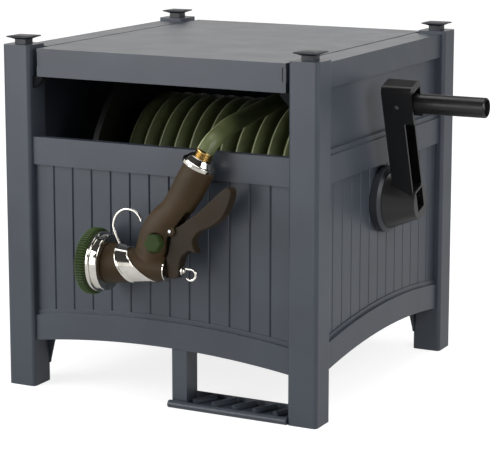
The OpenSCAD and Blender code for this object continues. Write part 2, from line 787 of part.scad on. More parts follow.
// Hose: a plain core for the layers that don't show, under the outer layer
function around(a, r, x) = [x, r * cos(a), axis_z + r * sin(a)];
function along(a) = unit([pitch / (2 * PI * wind_r), -sin(a), cos(a)]);
function turn_x(a) = wind_x0 + pitch * (a - wind_a) / 360;
wind_start = around(wind_a, wind_r, wind_x0);
wind_end = around(wind_a, wind_r, wind_x0 + turns * pitch);
module hose_inner_layers() {
    color("#3f4a36") translate([0, 0, axis_z]) difference() {
        rod(left_in, core_r, right_in - left_in);
        rod(left_in - 1, barrel_r, right_in - left_in + 2);
    }
}
wind_points = concat(
    [wind_start - hose_d * along(wind_a), wind_start - 0.5 * hose_d * along(wind_a)],
    [for (i = [0:turns * rings_per_turn])
        let (a = wind_a + i * 360 / rings_per_turn) around(a, wind_r, turn_x(a))],
    [wind_end + 0.5 * hose_d * along(wind_a), wind_end + hose_d * along(wind_a)]);
wind_gap = min([
    for (i = [0:len(wind_points) - 1], j = [i + 15:min(i + 33, len(wind_points) - 1)])
        norm(wind_points[i] - wind_points[j])]) - hose_d;
echo(least_gap_between_turns = wind_gap);
module hose_winding() {
    color("#4d5a3f") tube(wind_points, hose_d / 2, wind_sides, along(wind_a + 90));
}
brass_top = [
    coup_p + (nut_h / 2 + brass_h) * sin(coup_tilt),
    coup_q + (nut_h / 2 + brass_h) * cos(coup_tilt)];
// Place in the cabinet of a point on the nozzle's plane
function hung(p, q) = [p, noz_y + q * sin(noz_lean), noz_z + q * cos(noz_lean)];
hose_end = hung(brass_top[0], brass_top[1]);
coup_dir = [sin(coup_tilt), cos(coup_tilt) * sin(noz_lean), cos(coup_tilt) * cos(noz_lean)];
free_points = concat(
    [wind_end + hose_d * along(wind_a), wind_end + 1.5 * hose_d * along(wind_a)],
    smooth(concat([wind_end + 2 * hose_d * along(wind_a)], free_route,
        [hose_end + 8 * coup_dir]), free_step),
    [hose_end]);
module hose_free() {
    color("#4d5a3f") tube(free_points, hose_d / 2, free_sides, along(wind_a + 90));
}

// Crank
module on_crank() {
    translate([0, 0, axis_z]) rotate([crank_lean, 0, 0]) children();
}
module crank_shaft() {
    color("#8c8f93") on_crank() difference() {
        union() {
            rod(shaft_x0, axle_r, hub_x0 - shaft_x0);
            block([hub_x0 - 1, -square_w / 2, -square_w / 2],
                [square_x1, square_w / 2, square_w / 2]);
        }
        rod(square_x1 - 16, screw_r, 17);
        rotate([-crank_lean, 0, 0]) translate([hub_end - 9, 0, 0])
            cylinder(h = 3 * hub_r, r = 3, center = true);
    }
}
module crank_arm() {
    hole = square_w / 2 + loose_c / 2;
    color("#1e1f21") on_crank() difference() {
        union() {
            translate([hub_x0, 0, 0]) rotate([0, 90, 0])
                cylinder(h = hub_x1 - hub_x0, r1 = hub_r1, r2 = hub_r2);
            translate([arm_x0, 0, (crank_throw - arm_w / 2) / 2]) rotate([0, 90, 0])
                linear_extrude(arm_t) rrect(crank_throw + arm_w / 2, arm_w, arm_w / 2 - 1);
            translate([arm_x0, 0, (block_low + block_top) / 2]) rotate([0, 90, 0])
                linear_extrude(block_x1 - arm_x0)
                    rrect(block_top - block_low, block_w, block_round);
        }
        block([channel_floor, -channel_half, channel_low],
            [block_x1 + 1, channel_half, slot_top]);
        block([hub_x0 - 1, -hole, -hole], [web_x, hole, hole]);
        rod(web_x - 1, screw_r + 0.2, 6);
        block([pocket_x, -pocket_w / 2, pocket_low],
            [block_x1, pocket_w / 2, channel_low - arm_wall]);
        translate([pivot_x, 0, crank_throw]) rotate([90, 0, 0])
            cylinder(h = 2 * block_w, r = pivot_r, center = true);
    }
}
module crank_screw() {
    color("#c8cacc") on_crank() difference() {
        union() {
            rod(pocket_x, 8, 1.2);
            rod(pocket_x + 1, 5.5, 4);
            rod(square_x1 - 14, screw_r, pocket_x + 2 - square_x1 + 14);
        }
        translate([pocket_x + 5, 0, 0]) rotate([0, 90, 0]) cylinder(h = 5, r = 2.6, center = true);
    }
}
module grip_pivot_pin() {
    color("#c8cacc") on_crank() translate([pivot_x, 0, crank_throw]) rotate([90, 0, 0])
        cylinder(h = block_w, r = pivot_r, center = true);
}
module grip_yoke() {
    color("#26282b") on_crank() translate([0, 0, crank_throw]) difference() {
        union() {
            translate([pivot_x, 0, 0]) rotate([90, 0, 0])
                cylinder(h = 2 * tongue_half, r = eye_r, center = true);
            block([pivot_x, -tongue_half, -tongue_half], [collar_x + 1, tongue_half, tongue_half]);
            rod(collar_x, grip_r, 3);
            rod(collar_x + 1, spindle_r, spindle_x1 - collar_x - 1);
        }
        translate([pivot_x, 0, 0]) rotate([90, 0, 0])
            cylinder(h = 3 * tongue_half, r = pivot_r + run_c, center = true);
        rod(spindle_x1 - 14, 2, 15);
    }
}
module grip_sleeve() {
    color("#1e1f21") on_crank() translate([0, 0, crank_throw]) rotate([0, 90, 0])
        rotate_extrude() polygon([
            [spindle_r + run_c, grip_x0], [grip_r, grip_x0], [grip_r, grip_x1 - 1.5],
            [grip_r - 1.5, grip_x1], [grip_r - 2.3, grip_x1], [grip_r - 2.3, grip_x1 - cup_l],
            [spindle_r + run_c, grip_x1 - cup_l]]);
}
module grip_retainer() {
    x = spindle_x1 + 2 * seat_c;
    color("#a8abb0") on_crank() translate([0, 0, crank_throw]) {
        rod(x, 8, 1.4);
        rod(x + 1, 3.6, 2.6);
        rod(spindle_x1 - 12, 2, x + 2 - spindle_x1 + 12);
    }
}

// Nozzle pieces, drawn in the hanging plane
module hanging() {
    translate([0, noz_y, noz_z]) rotate([-noz_lean, 0, 0]) children();
}
module at_coupling() {
    hanging() translate([coup_p, 0, coup_q]) rotate([0, coup_tilt, 0]) children();
}
module hose_coupling() {
    color("#b08a3c") at_coupling() difference() {
        union() {
            translate([0, 0, nut_h / 2 - 4]) cylinder(h = 4 + brass_h - 3, r = brass_r);
            for (i = [0:2]) translate([0, 0, nut_h / 2 + 0.6 + 2.4 * i])
                cylinder(h = 1.2, r = brass_r + 0.8);
            translate([0, 0, nut_h / 2 + brass_h - 3]) cylinder(h = 3, r = brass_r - 1);
        }
        translate([0, 0, -nut_h]) cylinder(h = 3 * nut_h, r = 6);
    }
}
module coupling_nut() {
    color("#cfd2d4") at_coupling() difference() {
        translate([0, 0, -nut_h / 2]) rotate_extrude() polygon([
            [6, 0], [nut_r, 0], [nut_r, nut_h - 4], [nut_r - 3, nut_h], [6, nut_h]]);
        translate([0, 0, nut_h / 2 - 4]) cylinder(h = 5, r = brass_r);
        for (a = [0:60:300]) rotate(a) translate([nut_r + 3.5, 0, 0])
            cylinder(h = 2 * nut_h, r = 4.5, center = true);
    }
}

// Grip and valve body: elliptic sections lofted from the coupling into the turned barrel
module grip_loft() {
    n = 16;
    last = len(grip_sections) - 1;
    pts = [
        for (s = grip_sections, k = [0:n - 1])
            let (a = k * 360 / n, t = s[2] * cos(a))
            [s[0] + t * cos(s[3]), -noz_half * sin(a), s[1] - t * sin(s[3])]
    ];
    walls = [
        for (i = [0:last - 1], k = [0:n - 1])
            let (a = i * n + k, b = i * n + (k + 1) % n)
            each [[a, b, b + n], [a, b + n, a + n]]
    ];
    caps = [
        for (k = [1:n - 2])
            each [[0, k + 1, k], [last * n, last * n + k, last * n + k + 1]]
    ];
    polyhedron(points = pts, faces = [for (f = concat(walls, caps)) [f[2], f[1], f[0]]]);
}
function barrel_at(x) = 15 + (body_x1 - x) * 11 / (body_x1 - body_x0);
module leg(a, b, r) {
    translate([a[0], 0, a[1]]) rotate([0, atan2(b[0] - a[0], b[1] - a[1]), 0])
        cylinder(h = norm(b - a), r = r);
}
module nozzle_grip() {
    water = [[coup_p, coup_q], [40, 76], [17, 44], [6, 0]];
    color("#4f4234") hanging() difference() {
        union() {
            grip_loft();
            rotate([0, 90, 0]) rotate_extrude() polygon([
                [0, body_x0], [barrel_at(body_x0), body_x0], [barrel_at(body_x1), body_x1],
                [0, body_x1]]);
            rod(spout_x0, spout_r, body_x0 - spout_x0 + 1);
            translate([pull_p, 0, pull_q]) rotate([90, 0, 0])
                cylinder(h = pin_l, r = lever_hub + 1, center = true);
        }
        rod(spout_x0 - 1, chamber_r, chamber_x1 - spout_x0 + 1);
        rod(chamber_x1 - 1, stem_r + run_c, body_x1 - chamber_x1 + 3);
        for (i = [0:2]) leg(water[i], water[i + 1], 6 - 0.6 * i);
        translate([0, lever_half + 0.6, 0]) rotate([90, 0, 0])
            linear_extrude(2 * lever_half + 1.2) polygon(lever_well);
        translate([pull_p, 0, pull_q]) rotate([90, 0, 0])
            cylinder(h = 2 * lever_half + 1.2, r = lever_hub + 1.5, center = true);
        translate([cap_p, 0, cap_q]) rotate([90, 0, 0]) translate([0, 0, noz_half - cap_in])
            cylinder(h = noz_half, r = cap_r);
        translate([pull_p, 0, pull_q]) rotate([90, 0, 0])
            cylinder(h = 3 * noz_half, r = pin_r, center = true);
        translate([coup_p, 0, coup_q]) rotate([0, coup_tilt, 0]) translate([0, 0, -nut_h / 2])
            cylinder(h = 40, r = nut_r + 5);
    }
}
// Bright slanted band that wraps the barrel
module band_shape() {
    grow = 1.2;
    intersection() {
        rotate([0, 90, 0]) rotate_extrude() polygon([
            [barrel_at(-44), -44], [barrel_at(-44) + grow, -44], [barrel_at(30) + grow, 30],
            [barrel_at(30), 30]]);
        difference() {
            translate([-36, -60, 26]) rotate([0, 52, 0]) block([0, 0, -30], [90, 120, 20]);
            translate([-12, -60, 20]) rotate([0, 47, 0]) block([-20, -1, 0], [110, 121, 60]);
        }
    }
}
module barrel_band() {
    color("#cfd2d4") hanging() band_shape();
}
module rear_ring() {
    color("#cfd2d4") hanging() difference() {
        rod(body_x1, barrel_at(body_x1) + 0.5, 1.3);
        rod(body_x1 - 1, barrel_at(body_x1) - 4, 4);
    }
}
module side_cap() {
    color("#4a5c2c") hanging() translate([cap_p, 0, cap_q]) rotate([90, 0, 0])
        translate([0, 0, noz_half - cap_in]) rotate_extrude() polygon([
            [0, 0], [cap_r, 0], [cap_r, cap_t - 2], [cap_r - 1.5, cap_t], [0, cap_t]]);
}
module nozzle_hook() {
    start = 208.7;
    sweep = 188.7;
    foot = [hook_c[0] + hook_r * cos(start), hook_c[1] + hook_r * sin(start)];
    run = [-sin(start), cos(start)];
    down = 24;
    color("#cfd2d4") hanging() difference() {
        union() {
            translate([hook_c[0], 0, hook_c[1]]) rotate([90, 0, 0]) rotate(start - sweep)
                rotate_extrude(angle = sweep) translate([hook_r, 0]) circle(hook_wire);
            leg(foot - lap * run, foot + down * run, hook_wire - 0.05);
        }
        rotate([0, 90, 0]) rotate_extrude() polygon([
            [0, -44], [barrel_at(-44), -44], [barrel_at(30), 30], [0, 30]]);
        band_shape();
    }
}

// Trigger lever on its pivot between the grip's ears
module trigger_lever() {
    color("#4f4234") hanging() difference() {
        union() {
            translate([0, lever_half, 0]) rotate([90, 0, 0]) linear_extrude(2 * lever_half)
                polygon(lever_outline);
            translate([pull_p, 0, pull_q]) rotate([90, 0, 0])
                cylinder(h = 2 * lever_half, r = lever_hub, center = true);
        }
        translate([pull_p, 0, pull_q]) rotate([90, 0, 0])
            cylinder(h = 3 * lever_half, r = pin_r + run_c, center = true);
        rod(body_x1 - 5, stem_r + stem_play, 30);
    }
}
module trigger_pin() {
    color("#cfd2d4") hanging() translate([pull_p, 0, pull_q]) rotate([90, 0, 0])
        cylinder(h = pin_l, r = pin_r, center = true);
}
module valve_stem() {
    color("#c8cacc") hanging() {
        rod(-2, chamber_r - 0.4, 4);
        rod(0, stem_r, washer_x + 5);
    }
}
// Compression spring behind the valve head
spring_n = 7;
spring_wire = 0.6;
spring_coil = 5.6;
spring_points = [
    for (i = [0:spring_n * 8])
        let (a = i * 45, x = 2.9 + i * (chamber_x1 - 3.9) / (spring_n * 8))
        [x, spring_coil * cos(a), spring_coil * sin(a)]];
module valve_spring() {
    color("#a8abb0") hanging() tube(spring_points, spring_wire, 6, [1, 0, 0]);
}
module stem_nut() {
    color("#cfd2d4") hanging() difference() {
        union() {
            rod(washer_x, 6, 1.6);
            rod(washer_x + 1, 3.8, 3);
        }
        rod(washer_x - 1, stem_r, 6);
    }
}
// Bent wire clip that holds the trigger open
module latch_clip() {
    c = [69, -4];
    r = 6.8;
    color("#cfd2d4") hanging() {
        translate([c[0], 0, c[1]]) rotate([90, 0, 0]) rotate(-140)
            rotate_extrude(angle = 230) translate([r, 0]) circle(1.3);
        leg([washer_x + 5, c[1] + r], [c[0] + lap, c[1] + r], 1.25);
    }
}

// Turning spray head
module spray_dial() {
    color("#cfd2d4") hanging() difference() {
        rod(-59, 35.5, 59 + body_x0 - seat_c);
        rod(-60, 33, 60 + body_x0 - seat_c - 4);
        rod(-60, spout_r + run_c, 60);
    }
}
module dial_bezel() {
    color("#cfd2d4") hanging() difference() {
        rod(-61, 38, 5);
        rod(-62, 35.5, 7);
    }
}
module spray_face() {
    color("#26282b") hanging() difference() {
        rod(-62, 33, 4);
        for (a = [0:45:315]) rotate([a, 0, 0]) translate([0, 0, 22]) rod(-63, 2.6, 6);
        rod(-63, 5, 6);
    }
}
module bumper_ring() {
    inner = 33;
    color("#4a5c2c") hanging() rotate([0, 90, 0]) rotate_extrude() polygon([
        [inner, -73], [bumper_r - 3, -73], [bumper_r, -70], [bumper_r, -63],
        [bumper_r - 3, -61], [inner, -61]]);
}

post_front_left();
post_front_right();
post_back_left();
post_back_right();
finial_front_left();
finial_front_right();
finial_back_left();
finial_back_right();
front_panel();
back_panel();
left_panel();
right_panel();
lid();
hinge_pins();
lid_rests();
foot_step();
step_screws();
bearing_housing();
bearing_bush();
housing_screws();
swivel_body();
swivel_nut();
swivel_seals();
water_tube();
outlet_elbow();
drum_barrel();
flange_left();
flange_right();
flange_screws();
hub_pin();
hose_inner_layers();
hose_winding();
crank_shaft();
crank_arm();
crank_screw();
grip_pivot_pin();
grip_yoke();
grip_sleeve();
grip_retainer();
hose_free();
hose_coupling();
coupling_nut();
nozzle_grip();
barrel_band();
rear_ring();
side_cap();
nozzle_hook();
trigger_lever();
trigger_pin();
valve_stem();
valve_spring();
stem_nut();
latch_clip();
spray_dial();
dial_bezel();
spray_face();
bumper_ring();
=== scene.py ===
"""Looks of a garden hose reel cabinet: a slate resin cabinet with a crank, a wound garden hose and
a trigger nozzle. Shapes are in millimetres here and are turned to metres where a mesh is made."""

import json
import math

import bmesh
import bpy
import numpy as np
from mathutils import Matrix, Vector


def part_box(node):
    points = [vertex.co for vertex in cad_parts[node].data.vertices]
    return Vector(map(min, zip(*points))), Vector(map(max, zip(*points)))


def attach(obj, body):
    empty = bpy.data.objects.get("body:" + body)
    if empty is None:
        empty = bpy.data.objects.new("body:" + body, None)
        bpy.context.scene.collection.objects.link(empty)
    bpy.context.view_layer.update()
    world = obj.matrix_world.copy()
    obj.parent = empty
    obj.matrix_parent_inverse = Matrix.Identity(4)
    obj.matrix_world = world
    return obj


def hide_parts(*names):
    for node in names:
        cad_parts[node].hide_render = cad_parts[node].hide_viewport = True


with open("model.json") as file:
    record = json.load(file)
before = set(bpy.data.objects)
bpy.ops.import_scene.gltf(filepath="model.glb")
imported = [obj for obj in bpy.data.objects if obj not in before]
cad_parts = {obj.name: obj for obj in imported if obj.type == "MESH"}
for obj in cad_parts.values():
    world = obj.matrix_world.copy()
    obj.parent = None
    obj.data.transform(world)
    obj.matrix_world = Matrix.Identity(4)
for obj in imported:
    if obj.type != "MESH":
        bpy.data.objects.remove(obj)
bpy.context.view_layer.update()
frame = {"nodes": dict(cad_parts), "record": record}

MM = 0.001
SAME_POINT = 2e-6  # metres
NODES = frame["nodes"]
BODY_OF = {node: body for body, members in frame["record"]["behaviour"]["bodies"].items()
           for node in members}
SLOT_OF = {row["node"]: row["material_slot"] for row in frame["record"]["subparts"]}

# Camera: focal length in widths of the picture, place in metres, pitch and yaw in degrees
CAMERA_FOCAL = 1936.0 / 490
CAMERA_PLACE = (1.184, -2.283, 0.7192)
CAMERA_PITCH = 10.148
CAMERA_YAW = 27.176
CAMERA_SHIFT = -0.1
CAMERA_REACH = 50.0
SENSOR = 36.0

# Places that the solids use too, in millimetres
POST_TOP = 450.0
AXIS_Z = 249.0
NOZZLE_Y = -255.8
NOZZLE_Z = 188.0
NOZZLE_LEAN = math.radians(6.5)
HOSE_D = 22.0
PITCH = 22.7
TURNS = 12
WIND_R = 109.0
WIND_X0 = -116.0
WIND_X1 = WIND_X0 + TURNS * PITCH
WIND_START = math.radians(-60)
COUPLING = (73.8, 135.0)
COUPLING_TILT = math.radians(26)
NUT_H = 13.0
BRASS_H = 10.0

# Counts that a shape and its material share
BUMPER_RIBS = 72

# Faces that meet within the first angle are one flat face, and over the second make a corner
FLAT_WITHIN = math.radians(0.5)
CORNER_OVER = math.radians(32)


def added_object(name, data):
    """New object of a mesh, camera or lamp, put into the scene at the origin."""
    thing = bpy.data.objects.new(name, data)
    bpy.context.scene.collection.objects.link(thing)
    return thing


def place_camera():
    """Camera at the photograph's place. It looks down, and a small shift keeps the frame."""
    data = bpy.data.cameras.new("camera")
    data.sensor_width = SENSOR
    data.lens = CAMERA_FOCAL * SENSOR
    data.shift_y = CAMERA_SHIFT
    data.clip_end = CAMERA_REACH
    camera = added_object("camera", data)
    camera.location = CAMERA_PLACE
    camera.rotation_euler = (math.radians(90 - CAMERA_PITCH), 0, math.radians(CAMERA_YAW))
    bpy.context.scene.camera = camera


# Mesh making

def unit(v):
    """Vectors along the last axis, each divided by its length."""
    v = np.asarray(v, float)
    return v / np.linalg.norm(v, axis=-1, keepdims=True)


def bent_spans(a, b, c, d, parts):
    """Cubic spans from b to c, which leave b along c - a and reach c along d - b:
    0.5(2b + (c-a)t + (2a-5b+4c-d)t^2 + (3b-a-3c+d)t^3), t from 0 to 1."""
    a, b, c, d = (points[:, None, :] for points in (a, b, c, d))
    t = (np.arange(parts) / parts)[None, :, None]
    curve = 0.5 * (2 * b + (c - a) * t + (2 * a - 5 * b + 4 * c - d) * t ** 2
                   + (3 * b - a - 3 * c + d) * t ** 3)
    return curve.reshape(-1, curve.shape[-1])


def smooth_line(points, parts):
    """Smooth curve through an open row of points, each span cut into that many parts."""
    p = np.asarray(points, float)
    last = len(p) - 1
    i = np.arange(last)
    spans = bent_spans(*(p[np.clip(i + k, 0, last)] for k in (-1, 0, 1, 2)), parts)
    return np.vstack([spans, p[-1:]])


def closed_line(points, parts):
    """The same curve through a closed ring of points."""
    p = np.asarray(points, float)
    return bent_spans(*(np.roll(p, k, axis=0) for k in (1, 0, -1, -2)), parts)


def rounded(points, radius, parts=4):
    """Open profile whose inner corners become curves (1-t)^2 a + 2t(1-t) corner + t^2 b."""
    p = np.asarray(points, float)
    back, here, ahead = p[:-2], p[1:-1], p[2:]
    cut_a = np.minimum(radius, 0.45 * np.linalg.norm(back - here, axis=1))[:, None]
    cut_b = np.minimum(radius, 0.45 * np.linalg.norm(ahead - here, axis=1))[:, None]
    a = (here + unit(back - here) * cut_a)[:, None, :]
    b = (here + unit(ahead - here) * cut_b)[:, None, :]
    t = np.linspace(0, 1, parts + 1)[None, :, None]
    corners = (1 - t) ** 2 * a + 2 * t * (1 - t) * here[:, None, :] + t ** 2 * b
    return np.vstack([p[:1], corners.reshape(-1, p.shape[1]), p[-1:]])


def ring(sides):
    """Angles of one turn, without the last one."""
    return np.arange(sides) * 2 * np.pi / sides


def swept(path, radius, sides, across=(1, 0, 0)):
    """Tube grid: path + r(cos a side + sin a up), side = tangent x across, up = tangent x side.
    Both ends close on the path."""
    path = np.asarray(path, float)
    tangent = unit(np.gradient(path, axis=0))
    side = unit(np.cross(tangent, across))
    up = np.cross(tangent, side)
    a = ring(sides)[None, :, None]
    r = np.broadcast_to(np.asarray(radius, float), (len(path),))[:, None, None]
    tube = path[:, None, :] + r * (np.cos(a) * side[:, None, :] + np.sin(a) * up[:, None, :])
    first = np.broadcast_to(path[0], (1, sides, 3))
    last = np.broadcast_to(path[-1], (1, sides, 3))
    return np.concatenate([first, tube, last])


def turned(profile, sides, wave=None):
    """Grid turned round the local x axis from (x, r) pairs; wave(a) changes r round the turn."""
    profile = np.asarray(profile, float)
    a = ring(sides)[None, :]
    r = profile[:, 1:2] * (np.ones_like(a) if wave is None else wave(a))
    x = np.broadcast_to(profile[:, 0:1], r.shape)
    return np.stack([x, r * np.cos(a), r * np.sin(a)], axis=-1)


def grid_quads(rows, cols):
    """Corner numbers of the quads of a grid whose columns close on themselves."""
    i, j = np.meshgrid(np.arange(rows - 1), np.arange(cols), indexing="ij")
    i, j = i.ravel(), j.ravel()
    k = (j + 1) % cols
    return np.stack([i * cols + j, i * cols + k, (i + 1) * cols + k, (i + 1) * cols + j], axis=1)


def grid_uvs(grid):
    """UVs of each quad's corners: u once round the ring, v the length along the rows in metres."""
    rows, cols = grid.shape[:2]
    centre = grid.mean(axis=1)
    step = np.linalg.norm(np.diff(centre, axis=0), axis=1)
    v = np.concatenate([[0], np.cumsum(step)]) * MM
    i, j = np.meshgrid(np.arange(rows - 1), np.arange(cols), indexing="ij")
    i, j = i.ravel(), j.ravel()
    corners = [(j, i), (j + 1, i), (j + 1, i + 1), (j, i + 1)]
    return np.stack([np.stack([u / cols, v[w]], axis=1) for u, w in corners], axis=1)


def clean(mesh):
    """Merge equal points and turn the faces outwards."""
    work = bmesh.new()
    work.from_mesh(mesh)
    bmesh.ops.remove_doubles(work, verts=work.verts, dist=SAME_POINT)
    bmesh.ops.recalc_face_normals(work, faces=work.faces)
    work.to_mesh(mesh)
    work.free()


def settle(mesh, sharp):
    """Smooth shading that stays sharp over an angle in degrees."""
    mesh.shade_smooth()
    mesh.set_sharp_from_angle(angle=math.radians(sharp))


def solid(name, grids, sharp=40.0):
    """Object from grids of points in millimetres. Equal points are merged, so that poles and
    seams close, and the faces are turned outwards."""
    quads, start = [], 0
    for grid in grids:
        quads.append(grid_quads(*grid.shape[:2]) + start)
        start += grid.shape[0] * grid.shape[1]
    points = np.concatenate([g.reshape(-1, 3) for g in grids]) * MM
    mesh = bpy.data.meshes.new(name)
    mesh.from_pydata(points.tolist(), [], np.concatenate(quads).tolist())
    layer = mesh.uv_layers.new(name="along")
    uvs = np.concatenate([grid_uvs(g) for g in grids])
    layer.data.foreach_set("uv", uvs.reshape(-1).astype(np.float32))
    clean(mesh)
    settle(mesh, sharp)
    return added_object(name, mesh)


def slab(name, outline, y0, y1):
    """Prism from a closed outline in the local x-z plane, between two values of y."""
    outline = np.asarray(outline, float)
    n = len(outline)
    points = np.concatenate([np.insert(outline, 1, y, axis=1) for y in (y0, y1)]) * MM
    i = np.arange(n)
    k = (i + 1) % n
    walls = np.stack([i, k, k + n, i + n], axis=1).tolist()
    mesh = bpy.data.meshes.new(name)
    mesh.from_pydata(points.tolist(), [], walls + [i[::-1].tolist(), (i + n).tolist()])
    clean(mesh)
    return added_object(name, mesh)


def bake(piece):
    """Apply the piece's modifiers to its mesh."""
    bpy.context.view_layer.update()
    graph = bpy.context.evaluated_depsgraph_get()
    mesh = bpy.data.meshes.new_from_object(piece.evaluated_get(graph))
    piece.modifiers.clear()
    piece.data = mesh


def combine(piece, others, operation):
    """Union with, or difference from, other closed objects, which are then removed."""
    for other in others:
        join = piece.modifiers.new("join", "BOOLEAN")
        join.operation = operation
        join.solver = "EXACT"
        join.object = other
    bake(piece)
    for other in others:
        bpy.data.objects.remove(other)


def melt(piece, cell_mm, rounds):
    """Even mesh of small cells with softened edges, as a moulding tool gives."""
    remesh = piece.modifiers.new("cells", "REMESH")
    remesh.mode = "VOXEL"
    remesh.voxel_size = cell_mm * MM
    ease = piece.modifiers.new("ease", "SMOOTH")
    ease.factor = 0.5
    ease.iterations = rounds
    bake(piece)
    piece.data.shade_smooth()


def placed(piece, move):
    """Move a mesh's points by a function of an array of points in millimetres."""
    count = len(piece.data.vertices)
    points = np.empty(count * 3, np.float32)
    piece.data.vertices.foreach_get("co", points)
    moved = move(points.reshape(-1, 3).astype(float) / MM) * MM
    piece.data.vertices.foreach_set("co", moved.reshape(-1).astype(np.float32))
    piece.data.update()
    return piece


def hung(points):
    """Nozzle frame to the cabinet's: turned by the lean about x, then moved to the barrel's axis.
    In the nozzle frame x runs along the barrel, y across the nozzle and z up."""
    p, y, q = np.moveaxis(np.asarray(points, float), -1, 0)
    c, s = math.cos(NOZZLE_LEAN), math.sin(NOZZLE_LEAN)
    return np.stack([p, NOZZLE_Y + y * c + q * s, NOZZLE_Z - y * s + q * c], axis=-1)


def finish(piece, material, node):
    """Give a new piece its material, let it ride on the body of the node that it stands for, and
    hide that node."""
    piece.data.materials.clear()
    piece.data.materials.append(material)
    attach(piece, BODY_OF[node])
    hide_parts(node)


def soften(node, width_mm, material, segments=2, added=()):
    """Copy of a node with merged points, flat faces joined, other closed pieces added to it and a
    rounded edge on every corner. The large faces set the shading, so that they stay flat."""
    mesh = NODES[node].data.copy()
    mesh.name = node + "_moulded"
    work = bmesh.new()
    work.from_mesh(mesh)
    bmesh.ops.remove_doubles(work, verts=work.verts, dist=SAME_POINT)
    bmesh.ops.dissolve_limit(work, angle_limit=FLAT_WITHIN, verts=work.verts, edges=work.edges)
    work.to_mesh(mesh)
    work.free()
    piece = added_object(mesh.name, mesh)
    if added:
        combine(piece, added, "UNION")
    edge = piece.modifiers.new("edge", "BEVEL")
    edge.width = width_mm * MM
    edge.segments = segments
    edge.limit_method = "ANGLE"
    edge.angle_limit = CORNER_OVER
    edge.harden_normals = True
    flat = piece.modifiers.new("flat", "WEIGHTED_NORMAL")
    flat.weight = 100
    flat.keep_sharp = True
    settle(piece.data, 30)
    bake(piece)
    finish(piece, material, node)


# Materials

def linear(code):
    """sRGB hex colour to linear light, with alpha 1."""
    value = np.array([int(code[i:i + 2], 16) for i in (1, 3, 5)]) / 255
    light = np.where(value <= 0.04045, value / 12.92, ((value + 0.055) / 1.055) ** 2.4)
    return (*light.tolist(), 1.0)


def add_node(tree, kind, settings=None, values=None, links=None):
    """Add a node with its properties, its sockets' values and what feeds its sockets."""
    node = tree.nodes.new(kind)
    for name, value in (settings or {}).items():
        setattr(node, name, value)
    for socket, value in (values or {}).items():
        node.inputs[socket].default_value = value
    for socket, source in (links or {}).items():
        tree.links.new(source, node.inputs[socket])
    return node


def new_material(name):
    """Empty material, its node tree and its shader, joined to the output."""
    material = bpy.data.materials.new(name)
    material.use_nodes = True
    tree = material.node_tree
    tree.nodes.clear()
    shader = add_node(tree, "ShaderNodeBsdfPrincipled")
    add_node(tree, "ShaderNodeOutputMaterial", links={"Surface": shader.outputs["BSDF"]})
    return material, tree, shader


def per_metre(size_mm):
    """Noise scale, per metre, of a grain of that size."""
    return 1000.0 / size_mm


def mottled(tree, place, dark, light, size_mm):
    """Colour that drifts between two tones over patches of that size."""
    noise = add_node(tree, "ShaderNodeTexNoise", values={"Scale": per_metre(size_mm),
                     "Detail": 3.0}, links={"Vector": place})
    ramp = add_node(tree, "ShaderNodeValToRGB", links={"Fac": noise.outputs["Fac"]})
    ramp.color_ramp.elements[0].position = 0.3
    ramp.color_ramp.elements[0].color = linear(dark)
    ramp.color_ramp.elements[1].position = 0.7
    ramp.color_ramp.elements[1].color = linear(light)
    return ramp.outputs["Color"]


def grained(tree, place, size_mm, depth_mm, strength):
    """Bump from a fine grain of that size and depth."""
    noise = add_node(tree, "ShaderNodeTexNoise", values={"Scale": per_metre(size_mm),
                     "Detail": 2.0}, links={"Vector": place})
    return add_node(tree, "ShaderNodeBump", values={"Strength": strength,
                    "Distance": depth_mm * MM}, links={"Height": noise.outputs["Fac"]})


def rough_range(tree, place, low, high, size_mm):
    """Roughness that drifts between two values over patches of that size."""
    noise = add_node(tree, "ShaderNodeTexNoise", values={"Scale": per_metre(size_mm),
                     "Detail": 4.0}, links={"Vector": place})
    span = add_node(tree, "ShaderNodeMapRange", values={"From Min": 0.3, "From Max": 0.7,
                    "To Min": low, "To Max": high}, links={"Value": noise.outputs["Fac"]})
    return span.outputs["Result"]


def moulded(name, dark, light, low, high, grain_mm=0.9, depth_mm=0.05, strength=0.35):
    """A moulded plastic: two close tones, drifting gloss and the fine grain of the tool."""
    material, tree, shader = new_material(name)
    place = add_node(tree, "ShaderNodeTexCoord").outputs["Object"]
    tree.links.new(mottled(tree, place, dark, light, size_mm=70), shader.inputs["Base Color"])
    tree.links.new(rough_range(tree, place, low, high, size_mm=45), shader.inputs["Roughness"])
    grain = grained(tree, place, grain_mm, depth_mm, strength)
    tree.links.new(grain.outputs["Normal"], shader.inputs["Normal"])
    return material


def polypropylene():
    """Slate resin of the cabinet: satin, with a faint tool grain and soft drifts of tone."""
    return moulded("slate_polypropylene", "#40464f", "#464d57", 0.35, 0.39)


def filled_polypropylene():
    """Darker resin of the finials and the bearing boss, a little rougher from its filler."""
    return moulded("dark_filled_polypropylene", "#2e3036", "#36383e", 0.38, 0.48)


def black_polypropylene():
    """Reel's plain black resin, duller because nobody polishes its tool."""
    return moulded("black_polypropylene", "#0b0b0c", "#111112", 0.45, 0.6)


def glass_filled_nylon():
    """Crank: near-black nylon with a fine spark-eroded texture and a low sheen."""
    return moulded("glass_filled_nylon", "#0d0d0e", "#131314", 0.26, 0.36,
                   grain_mm=0.7, depth_mm=0.03, strength=0.3)


def acetal():
    """Bush: natural white acetal, waxy and even."""
    return moulded("acetal", "#c9c6bb", "#d6d3c9", 0.3, 0.4)


